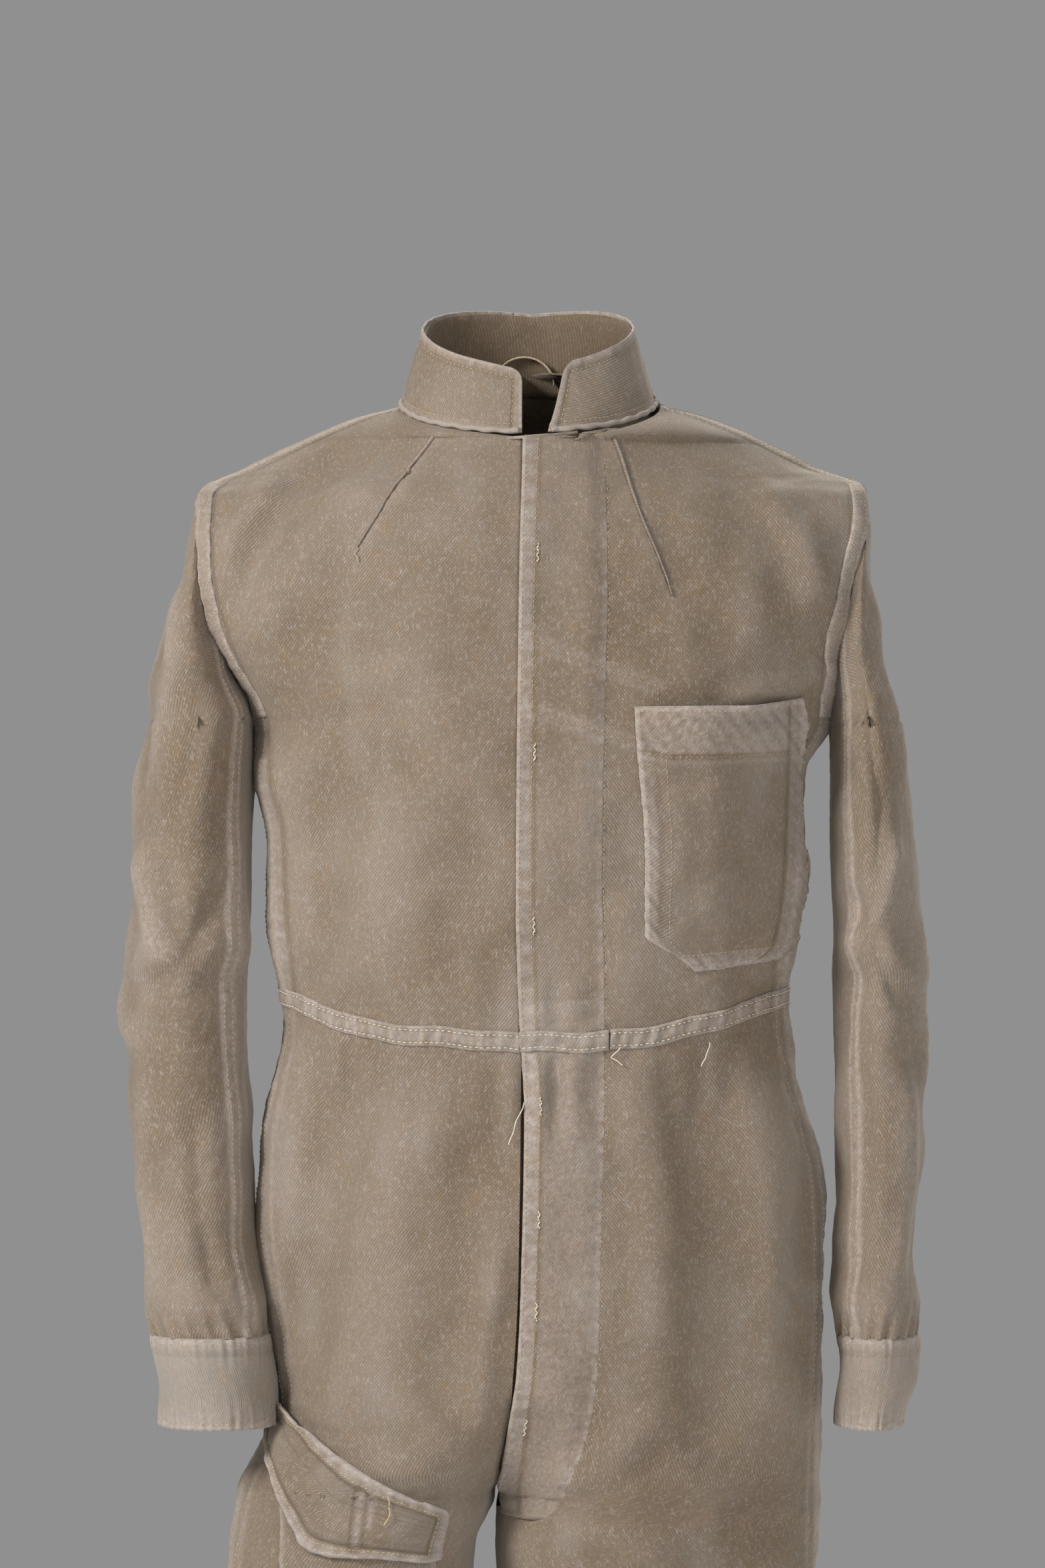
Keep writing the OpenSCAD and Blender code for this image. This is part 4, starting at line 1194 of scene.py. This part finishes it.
def trouser(side, tag, where, surface):
    def cut(z):
        """The left front starts under the overlap, and meets the crotch seam below it."""
        if (side, where) != (L, "front"):
            return 0.0 * z
        reach = across(L, np.maximum(stitch_edge(z) - 9, curve(z, MIDDLE) + 1), np.maximum(z, CROTCH + 2))
        return reach * ramp(z, -762, -735)

    def base(u, z):
        return surface(side, cut(z) + (1 - cut(z)) * u, z)

    def shape(u, z, pos):
        inseam = np.abs(pos[..., 0] - inner_x(side, z))
        return drape(pos) + edge_relief(side, pos, band=8) + 0.7 * ramp(7 - inseam, 0, 2) * (z < CROTCH)

    def wear_and_shade(u, z, pos):
        d = edge_x(side, z) - side * pos[..., 0]
        knee = bell(pos[..., 2] + 1120, 60) * bell(pos[..., 0] - side * 95, 60)
        return np.clip(0.7 * bell(d - 1, 2.4) + 0.4 * bell(d - 8, 1.8) + 0.22 * knee + rubbed(pos), 0, 1)
    cloth = Cloth(base, side if where == "front" else -side, shape)
    rows = np.concatenate([heights(WAIST + 1, -800, 3.2), heights(-800, KNEE_TOP + 3, 7.0)[1:]])
    node = f"trouser_{where}_{tag}"
    place(panel(node, cloth, even(76), rows, BODY, wear_and_shade=wear_and_shade, joined=True), "torso", node)
    z = np.linspace(WAIST - 6, KNEE_TOP + 6, 420)
    for k, inset in enumerate((1.8, 7.2)):
        sew(f"{where}_outseam_stitches_{tag}_{k}", cloth, (edge_u(side, z, inset) - cut(z)) / (1 - cut(z)), z)
    if (side, where) == (L, "back"):
        z = np.linspace(WAIST - 8, CROTCH + 6, 220)
        for k, x in enumerate((1.5, 7.0)):
            sew(f"seat_stitches_{k}", cloth, u_of(x / (edge_x(side, z) - inner_x(side, z))), z)


def lower_leg(side, tag):
    """One tube from thigh to hem."""
    def base(a, z):
        return leg(side, a, z)

    def shape(a, z, pos):
        d = edge_x(side, z) - side * pos[..., 0]
        knee = 4.0 * np.sin((z + 1130) / 11 + np.cos(np.radians(a)) * 1.5) * bell(z + 1128, 30)
        seam = 0.9 * ramp(9.5 - d, 0, 2) * (1 - ramp(-z, 1478, 1489))
        return drape(pos) + knee * ramp(pos[..., 1], -20, 60) + seam

    def hem_shape(a, z, pos):
        return drape(pos) + 1.1 + 0.5 * pucker(a * 1.4, 4, 13)

    def wear_and_shade(a, z, pos):
        d = edge_x(side, z) - side * pos[..., 0]
        return np.clip(0.7 * bell(d - 1, 2.4) + 0.25 * bell(z + 1130, 50) * ramp(-pos[..., 1], 0, 60), 0, 1)

    def hem_worn(a, z, pos):
        return 0.25 + 0.75 * bell(z - HEM, 4)
    angles = np.linspace(0, 360, 121)[:-1]
    rows = heights(KNEE_TOP + 3, HEM + 33, 7.0)
    place(panel(f"lower_leg_{tag}", Cloth(base, side, shape), angles, rows, BODY, closed=True, wear_and_shade=wear_and_shade,
                joined=True), "torso", f"lower_leg_{tag}",
          to=f"shin_{tag}", start=(0, 0, KNEE_TOP * MM), end=(0, 0, KNEE_END * MM))
    hem = Cloth(base, side, hem_shape)
    place(panel(f"leg_hem_{tag}", hem, angles, np.linspace(HEM + 32, HEM, 10), EDGES, thick=2.6, closed=True,
                wear_and_shade=hem_worn), f"shin_{tag}", f"leg_hem_{tag}")
    for k, z in enumerate((HEM + 29, HEM + 24)):
        sew(f"hem_stitches_{tag}_{k}", hem, np.linspace(0, 359, 500), z, f"shin_{tag}")


# --- Hip pocket and flap ----------------------------------------------------------------------
FLAP_TOP = [(-166, -687), (-156, -697), (-139, -710), (-111, -727), (-93, -736.5), (-62, -752)]
FLAP_LOW = [(-175, -706), (-176, -729), (-166, -752), (-153, -778), (-146, -782), (-133, -784.5),
            (-103, -784), (-75, -788), (-68, -786)]


def flap_point(p, q):
    """p runs along the flap from the outer hip, q from its top edge down."""
    t = np.array(FLAP_TOP, float)
    xt = t[0, 0] + (t[-1, 0] - t[0, 0]) * p
    zt = np.interp(xt, t[:, 0], t[:, 1])
    low = np.array(FLAP_LOW, float)
    run = runs(low)
    at = run[-1] * p
    xl, zl = np.interp(at, run, low[:, 0]), np.interp(at, run, low[:, 1])
    bulge = -2.0 * np.sin(math.pi * q) * (1 - p)
    return xt + (xl - xt) * q + bulge, zt + (zl - zt) * q


def hip_pocket():
    def bag(p, q):
        x = -170 + 104 * p
        top = np.interp(x, [t[0] for t in FLAP_TOP], [t[1] for t in FLAP_TOP]) - 8
        low = -880 - 20 * np.sin(math.pi * p)
        return front_at_dipped(x, top + (low - top) * q)

    def bag_shape(p, q, pos):
        d = np.minimum(np.minimum(p, 1 - p) * 104, (1 - q) * 150)
        gathers = 0.5 * pucker(pos[..., 2], 4, 12) * ramp(12 - d, 0, 9)
        return 1.6 + 2.4 * ramp(d, 4, 34) - 0.4 * bell(d - 2, 1.1) + 0.95 * drape(pos) + gathers

    def bag_worn(p, q, pos):
        return np.clip(0.8 * bell(np.minimum(p, 1 - p) * 104, 2.5) + 0.8 * bell((1 - q) * 150, 3), 0, 1)
    bag_cloth = Cloth(bag, -1, bag_shape)
    place(panel("thigh_pocket", bag_cloth, even(46), even(56), EDGES, thick=1.0, wear_and_shade=bag_worn), "torso",
          "thigh_pocket")
    edge = np.linspace(0.03, 0.97, 160)
    for tag, p, q in (("left", 0.02, edge), ("right", 0.98, edge), ("low", edge, 0.985)):
        sew(f"thigh_pocket_stitches_{tag}", bag_cloth, p, q)

    def flap(p, q):
        return front_at_dipped(*flap_point(p, q))

    def flap_rim(p, q, wide):
        """Distance from the flap's edges, in mm."""
        return np.minimum(np.minimum(q, 1 - q) * wide * 1.6, np.minimum(p + 0.02, 1.02 - p) * 130)

    def creases(pos):
        """Distances from the two tucks in the middle of the flap."""
        lines = [(-115, -741), (-119, -776)], [(-107, -742), (-110, -763)]
        return [along(pos[..., 0], pos[..., 2], line)[0] for line in lines]

    def flap_shape(p, q, pos):
        x, z = pos[..., 0], pos[..., 2]
        rim = flap_rim(p, q, 40 * (1 - 0.2 * p))
        h = 7.2 + 1.3 * ramp(6 - rim, 0, 2.2) * ramp(rim, 0, 1.0) - 0.55 * bell(rim - 7.2, 1.2)
        d1, d2 = creases(pos)
        h = h + 2.2 * bell(d1, 2.6) + 1.9 * bell(d2, 2.4) - 0.8 * bell(d1 - 5, 2)
        h = h + fold(x, z, [(-176, -705), (-150, -730), (-120, -735)], 8, 1.6)
        h = h + fold(x, z, [(-160, -745), (-140, -755), (-125, -770)], 8, -1.8)
        h = h + 2.4 * bell(p, 0.10) * ramp(q, 0.1, 0.7) + 1.8 * bell(1 - p, 0.08) * ramp(q, 0.2, 0.9)
        return h + 0.8 * pucker(p * 130, 6, 9) * ramp(10 - rim, 0, 7) + drape(pos) * 0.8

    def flap_wear_and_shade(p, q, pos):
        rim = flap_rim(p, q, 34)
        d1, d2 = creases(pos)
        w = bell(rim, 3.0) + 0.6 * ramp(9 - rim, 0, 2) * rhythm(p * 130, 6, 9)
        w = w + 0.8 * bell(d1, 2) + 0.8 * bell(d2, 2)
        # Painted shade: a dark line just inside the stitch rows, and one in the furrow beside the first tuck.
        return np.clip(w - 0.7 * bell(rim - 9.5, 1.4) - 0.7 * bell(d1 - 4.5, 1.5), -0.8, 1)
    outer = Cloth(flap, -1, flap_shape)
    lining = Cloth(lambda p, q: flap(0.02 + 0.96 * p, 0.03 + 0.94 * q), -1,
                   lambda p, q, pos: flap_shape(0.02 + 0.96 * p, 0.03 + 0.94 * q, pos) - 1.9)
    bend = dict(to="pocket_flap", start=(-0.118, -0.105, -0.7145), end=(-0.127, -0.105, -0.7345))
    ps, qs = even(74), even(36)
    place(panel("thigh_flap", outer, ps, qs, EDGES, thick=1.5, wear_and_shade=flap_wear_and_shade), "torso", "thigh_flap", **bend)
    place(panel("thigh_flap_lining", lining, ps[::2], qs[::2], LINING, thick=0.9), "torso",
          "thigh_flap_lining", sheet=False, **bend)
    ends = np.linspace(0.03, 0.965, 200)
    inside = np.linspace(0.13, 0.88, 200)
    rows = {"top": (ends, 0.13), "low": (ends, 0.88), "in": (0.035, inside), "out": (0.955, inside)}
    for tag, (p, q) in rows.items():
        sew(f"flap_stitches_{tag}", outer, p, q, bend=bend, **GOLD)


# --- Sleeves ----------------------------------------------------------------------------------
SPLIT = -335.0                     # the sleeve is made of an upper and a lower piece, which meet at this height
ARM = {R: ((-0.190, 0, -0.225), (-0.235, 0, -0.251)), L: ((0.203, 0, -0.228), (0.248, 0, -0.254))}
SEAM_ANGLE = {R: 136, L: 130}      # the felled seam that runs down each sleeve


def arm(side, tag):
    def seam_relief(a, z):
        d = ((a - SEAM_ANGLE[side] + 180) % 360 - 180) * math.pi / 180 * curve(z, SLEEVE_D) * 0.7
        return (0.85 * ramp(d + 5, 0, 1.6) * (1 - ramp(d, 3.5, 5))
                - 0.3 * bell(d + 2.8, 1.0) - 0.3 * bell(d - 2.6, 1.0)), d

    def base_up(a, v):
        top = np.minimum(armhole_z(a), -62) + 0.3
        return sleeve(side, a, top + (SPLIT - top) * v)

    def shape_up(a, v, pos):
        z = pos[..., 2]
        head = armhole_z(a) - z
        roll = 1.5 * bell(head - 5, 7) * ramp(head, 0, 3)
        tiny = 0.5 * pucker(a * 1.6, side + 4, 10) * bell(head - 8, 12)
        return sleeve_drape(side, a, z, pos) + seam_relief(a, z)[0] * ramp(head, 4, 14) + roll + tiny

    def base_low(a, v):
        return sleeve(side, a, SPLIT + (CUFF + 1 - SPLIT) * v)

    def shape_low(a, v, pos):
        z = pos[..., 2]
        elbow = 2.6 * np.sin((z + 395) / 8.5 + np.cos(np.radians(a)) * 1.4) * bell(z + 393, 26)
        elbow = elbow * ramp(np.sin(np.radians(a)), -0.2, 0.8)
        return sleeve_drape(side, a, z, pos) + seam_relief(a, z)[0] + elbow

    def wear_and_shade(a, v, pos):
        _, d = seam_relief(a, pos[..., 2])
        head = armhole_z(a) - pos[..., 2]
        w = 0.75 * bell(d + 4, 1.8) + 0.7 * bell(d - 4, 1.8) + 0.4 * bell(d, 4) * rhythm(pos[..., 2], side, 8)
        w = w + 0.22 * bell(head - 4, 5) + 0.16 * bell(pos[..., 2] - ELBOW, 60)
        return np.clip(w + 0.08 * np.maximum(sleeve_drape(side, a, pos[..., 2], pos), 0), 0, 1)
    angles = np.arange(-180, 180, 2.5 if side == L else 2)
    up, low = Cloth(base_up, side, shape_up), Cloth(base_low, side, shape_low)
    start, end = ARM[side]
    bend_up = dict(to=f"upper_arm_{tag}", start=start, end=end)
    bend_low = dict(to=f"forearm_{tag}", start=(0, 0, SPLIT * MM), end=(0, 0, -0.445))
    look = dict(closed=True, wear_and_shade=wear_and_shade, joined=True)
    place(panel(f"upper_sleeve_{tag}", up, angles, even(90), BODY, **look), "torso", f"upper_sleeve_{tag}",
          f"sleeve_cap_{tag}", **bend_up)
    place(panel(f"forearm_sleeve_{tag}", low, angles, even(112), BODY, **look), f"upper_arm_{tag}",
          f"forearm_sleeve_{tag}", **bend_low)
    v = np.linspace(0.02, 0.995, 240)
    for k, shift in enumerate((-2.8, 2.6)):
        for cloth, bend, body, part in ((up, bend_up, "torso", "upper"),
                                        (low, bend_low, f"upper_arm_{tag}", "lower")):
            z = -210 + (SPLIT + 210) * v if part == "upper" else SPLIT + (CUFF - SPLIT) * v
            a = SEAM_ANGLE[side] + np.degrees(shift / (curve(z, SLEEVE_D) * 0.7))
            sew(f"sleeve_stitches_{tag}_{part}_{k}", cloth, a, v, body, bend=bend)
    # Cuff: a double band with small puckers at its seam and its edge.
    def cuff_base(a, z):
        return sleeve(side, a, z)

    def cuff_shape(a, z, pos):
        band = CUFF - z
        h = 1.5 * ramp(band, -1.5, 1.5) + 0.5 * ramp(9 - band, 0, 2)
        h = h - 0.35 * (bell(band - 3, 1.0) + bell(band - 9, 1.0) + bell(z - WRIST - 4, 1.1))
        h = h + 0.95 * pucker(a * 1.15, 7, 9) * (bell(band, 14) + bell(z - WRIST, 15))
        h = h + 1.6 * np.sin(np.radians(a) * 3 + z / 15 + side) * bell(z - (CUFF + WRIST) / 2, 26)
        return h + 0.7 * waves(pos, 40, 31)

    def cuff_wear_and_shade(a, z, pos):
        beat = rhythm(a * 1.15, 7, 9)
        w = 0.25 + 0.8 * bell(CUFF - z, 2.4) + bell(z - WRIST, 2.4) + 0.55 * beat * bell(z - WRIST, 15)
        # Painted shade: a dark line in the furrow of the cuff's inner stitch row.
        return np.clip(w + 0.45 * beat * bell(CUFF - z, 14) - 0.6 * bell(CUFF - z - 9, 1.4), -0.6, 1)
    cuff = Cloth(cuff_base, -side, cuff_shape)
    rows = heights(CUFF + 1.5, WRIST - 0.5, 2.2)
    place(panel(f"cuff_{tag}", cuff, angles, rows, CUFFS, thick=1.6, closed=True, wear_and_shade=cuff_wear_and_shade),
          f"forearm_{tag}", f"cuff_{tag}")
    facing = Cloth(cuff_base, -side, lambda a, z, pos: cuff_shape(a, z, pos) - 2.4)
    place(panel(f"cuff_facing_{tag}", facing, angles[::2], heights(CUFF - 3, WRIST + 1, 4), LINING, thick=1.0,
                closed=True), f"forearm_{tag}", f"cuff_facing_{tag}")
    for k, z in enumerate((CUFF - 3, CUFF - 9, WRIST + 4)):
        sew(f"cuff_stitches_{tag}_{k}", cuff, np.linspace(-180, 179, 300), z, f"forearm_{tag}")


# --- Armhole seam ridge -----------------------------------------------------------------------
def armhole(side, tag, where, surface):
    def base(v, w):
        z = -66 + (UNDERARM + 3 + 66) * v
        return surface(side, edge_u(side, z, 0.3 + 10.0 * w), z)

    def shape(v, w, pos):
        ridge = 1.7 * ramp(w, 0, 0.14) * ramp(1 - w, 0, 0.18)
        furrow = -0.45 * (bell(w - 0.24, 0.07) + bell(w - 0.78, 0.07))
        return 0.5 + ridge + furrow + 0.35 * pucker(pos[..., 2], 8, 9) + drape(pos)

    def wear_and_shade(v, w, pos):
        return np.clip(0.35 + 0.6 * bell(w - 0.02, 0.14) + 0.6 * bell(1 - w, 0.14), 0, 1)
    cloth = Cloth(base, -side if where == "front" else side, shape)
    place(panel(f"armhole_{where}_{tag}", cloth, even(90), even(14), EDGES, thick=1.6, wear_and_shade=wear_and_shade), "torso",
          sheet=False)
    for k, w in enumerate((0.24, 0.78)):
        sew(f"armhole_stitches_{where}_{tag}_{k}", cloth, np.linspace(0.003, 0.997, 200), w)


# --- Collar -----------------------------------------------------------------------------------
COLLAR_START = -179.0
COLLAR_RUN, COLLAR_TALL = 470.0, 44.0      # the band's length and width, mm


def collar_angle(p, v):
    return COLLAR_START + (169.4 - 11.4 * v - COLLAR_START) * p


def collar_band():
    def base(p, v):
        corner = 9.0                       # the front corners are rounded
        d = np.minimum(p, 1 - p) * COLLAR_RUN
        drop = np.where(d < corner, corner - root(corner ** 2 - (corner - np.minimum(d, corner)) ** 2), 0)
        vv = v * (1 - drop / COLLAR_TALL)
        around = collar_angle(p, vv)       # at the back the base reaches down to the bodice
        vv = vv - 0.32 * (1 - vv) * ramp(np.cos(np.radians(around)), 0.0, 0.6)
        return collar(around, vv)

    def shape(p, v, pos):
        d = np.minimum(p, 1 - p) * COLLAR_RUN
        rim = np.minimum((1 - v) * COLLAR_TALL, d)
        h = 0.55 * ramp(5.2 - rim, 0, 1.4) - 0.4 * bell(rim - 6.3, 0.9)
        h = h + 0.9 * waves(pos, 46, 41) + 0.35 * waves(pos, 17, 43)
        h = h + 0.3 * pucker(p * COLLAR_RUN, 3, 12) * bell(rim, 8)
        h = h - 1.2 * bell(v - 0.06, 0.05)
        return h + 1.4 * bell(p - 0.06, 0.03) * ramp(v, 0.3, 1) - 1.0 * bell(p - 0.95, 0.03) * v

    def wear_and_shade(p, v, pos):
        rim = np.minimum((1 - v) * COLLAR_TALL, np.minimum(p, 1 - p) * COLLAR_RUN)
        w = bell(rim, 1.8) + 0.35 * ramp(6 - rim, 0, 2) * rhythm(p * COLLAR_RUN, 3, 9)
        # Painted shade: a dark line in the furrow of the stitch row inside the rim.
        w = w - 0.6 * bell(rim - 6.8, 1.0)
        return np.clip(w + 0.5 * bell(v * COLLAR_TALL - 2.5, 1.6) + 0.08, -0.8, 1)
    rows = np.concatenate([np.linspace(0.0, 0.9, 22), np.linspace(0.92, 1.0, 8)])
    ends = np.linspace(0, 0.02, 14)
    halves = ("collar_right_half", True, BODY_RISING), ("collar_left_half", False, BODY_LEVEL)
    for name, right, material in halves:
        cols = np.concatenate([ends[:-1], np.linspace(0.02, 0.5, 96)])
        cols = cols if right else 1 - cols[::-1]
        cloth = Cloth(base, -1, shape)
        place(panel(name, cloth, cols, rows, material, thick=1.5, wear_and_shade=wear_and_shade), "torso", "collar_outer")
        share = np.linspace(0.012, 0.5, 300) if right else np.linspace(0.5, 0.988, 300)
        sew(f"{name}_top_stitches", cloth, share, 0.855)
        sew(f"{name}_base_stitches", cloth, share, 0.115)
        sew(f"{name}_end_stitches", cloth, 0.0135 if right else 0.9865, np.linspace(0.13, 0.85, 40))
    inner = Cloth(lambda p, v: base(0.004 + 0.992 * p, 0.97 * v), -1,
                  lambda p, v, pos: shape(0.004 + 0.992 * p, v, pos) - 2.0)
    place(panel("collar_lining", inner, even(120), even(12), LINING, thick=1.3), "torso",
          "collar_lining")
    # The rolled seam where the collar meets the bodice.
    whole = Cloth(base, -1, shape).cover(even(2), even(2))
    p = np.linspace(0.004, 0.996, 420)
    pts, _ = whole.at(p, np.full(420, 0.012), lift=0.2)
    run = p * COLLAR_RUN
    pts = pts + np.stack([0 * p, 0.25 * np.sin(run / 1.7), 0.35 * np.sin(run / 2.1)], -1)
    place(tube("collar_seam_roll", pts, 1.9 + 0.2 * np.sin(p * COLLAR_RUN / 2.6), EDGES, sides=12), "torso")


def small_parts():
    """Hanging loop inside the neck, and loose threads."""
    lo, hi = (np.array(v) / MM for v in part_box("hanging_loop"))
    mid, r = (lo + hi) / 2, (hi[0] - lo[0]) / 2 - 1.2
    ang = np.radians(np.linspace(180, 0, 40))
    across_x, up_z = mid[0] + r * np.cos(ang), lo[2] + (hi[2] - lo[2] - 2.4) * np.sin(ang)

    def loop(p, q):
        x, z = np.interp(p, even(40), across_x), np.interp(p, even(40), up_z)
        return np.stack([x, mid[1] - 2.4 + 4.8 * q, z], -1)
    place(panel("hanging_loop", Cloth(loop, 1), even(60), even(8), TAPE, thick=1.2),
          "torso", "hanging_loop", sheet=False)
    threads = [
        ("waist_thread_a", CREAM, [(-6, -479), (-9, -487), (-13, -496), (-16, -507)], "torso", 4.2),
        ("waist_thread_b", CREAM, [(118, -441), (117, -448), (114, -453), (113, -457)], "torso", 4.0),
        ("waist_thread_c", CREAM, [(-165, -424), (-171, -430), (-169, -438), (-163, -440)], "torso", 3.2),
        ("waist_thread_d", CREAM, [(58, -443), (52, -450), (60, -455)], "torso", 4.2),
        ("flap_thread_a", YELLOW, [(-63, -757), (-60, -764), (-66, -770), (-62, -776)], "torso", 5.4),
        ("flap_thread_b", YELLOW, [(-97, -742), (-95, -752), (-99, -761)], "pocket_flap", 9.8),
        ("dart_thread", TAN, [(-117, -110), (-119, -114), (-116, -119)], "torso", 1.8),
    ]
    for name, material, line, body, lift in threads:
        x, z = resample(line, 26)
        pts = front_at_dipped(x, z)
        h = drape(pts) + lift
        beat = np.arange(26)
        pts = pts + np.stack([0.5 * np.sin(beat / 2.2), -h + 0.5 * np.sin(beat / 3), 0 * h], -1)
        place(tube(name, pts, 0.38, material, sides=6), body)


# --- Everything in its place ------------------------------------------------------------------
WHERE = (("front", front), ("back", back))
left_front, left_start = bodice()
darts()
overlap()
overlap_band()
under_overlap()
buttons()
chest_pocket()
for side, tag in SIDES:
    for where, surface in WHERE:
        waist_band(side, tag, where, surface)
for side, tag in SIDES:
    for where, surface in WHERE:
        trouser(side, tag, where, surface)
    lower_leg(side, tag)
hip_pocket()
for side, tag in SIDES:
    arm(side, tag)
for side, tag in SIDES:
    for where, surface in WHERE:
        armhole(side, tag, where, surface)
collar_band()
small_parts()
for k, line in enumerate((STRAP_TOP[1:], STRAP_LOW[1:], [(83, -202.5), (83, -214)])):
    x, z = resample(line)
    u, q = front_line(L, left_start, x, z)
    good = u > 0.004
    if good.sum() > 4:
        sew(f"strap_stitches_{k}", left_front, u[good], q[good])
for obj in bpy.data.objects:
    if obj.name in ("collar_hook", "collar_eye") and obj.type == "MESH":
        for slot in obj.material_slots:
            slot.material = HOOK

# --- Stage: a pale floor and backdrop, a broad soft key from the front and above --------------
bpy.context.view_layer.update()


def flat_material(name, tone):
    n = Nodes(name)
    where = n.new("ShaderNodeTexCoord").outputs["Object"]
    n.set(Base_Color=n.mix(n.noise(where, 3.0), tint(tone, 0.97, 0.97, 0.97), tint(tone)), Roughness=0.9,
          Specular_IOR_Level=0.1)
    return n.mat


def block(name, lo, hi, material):
    x, y, z = zip(lo, hi)
    verts = [(x[i], y[j], z[k]) for k in (0, 1) for j in (0, 1) for i in (0, 1)]
    faces = [(0, 2, 3, 1), (4, 5, 7, 6), (0, 1, 5, 4), (2, 6, 7, 3), (0, 4, 6, 2), (1, 3, 7, 5)]
    obj = add_mesh(name, np.array(verts) / MM, faces, material, smooth=False)
    return obj


PAPER = flat_material("studio_paper", (0.86, 0.855, 0.85))
block("floor", (-3, -3, -1.56), (3, 3, -1.525), PAPER)


def soft_light(name, where, target, wide, tall, watts, tone=(1, 1, 1)):
    data = bpy.data.lights.new(name, "AREA")
    data.shape, data.size, data.size_y = "RECTANGLE", wide, tall
    data.energy, data.color = watts, tone
    obj = bpy.data.objects.new(name, data)
    bpy.context.scene.collection.objects.link(obj)
    obj.location = where
    way = np.array(target, float) - np.array(where, float)
    obj.rotation_euler = Vector(way).to_track_quat("-Z", "Y").to_euler()
    return obj


soft_light("key", (-2.1, -1.75, 1.0), (0, 0, -0.55), 0.9, 0.9, 88, (1, 0.985, 0.965))
soft_light("fill", (0.9, -2.8, -0.1), (0, 0, -0.6), 1.0, 1.4, 30, (0.98, 0.99, 1))
soft_light("rim", (0.6, 2.2, 1.6), (0, 0, -0.4), 2.0, 1.2, 75)
world = bpy.data.worlds.new("studio")
bpy.context.scene.world = world
world.use_nodes = True
world.node_tree.nodes["Background"].inputs["Color"].default_value = (0.93, 0.93, 0.94, 1)
world.node_tree.nodes["Background"].inputs["Strength"].default_value = 0.30

camera = bpy.data.cameras.new("camera")
camera.sensor_fit, camera.sensor_height, camera.lens = "VERTICAL", 36.0, 141.0
eye = bpy.data.objects.new("camera", camera)
bpy.context.scene.collection.objects.link(eye)
eye.location = (-0.0071, -4.2, -0.2675)
eye.rotation_euler = (math.pi / 2, 0, 0)
bpy.context.scene.camera = eye
bpy.context.scene.view_settings.view_transform = "Standard"
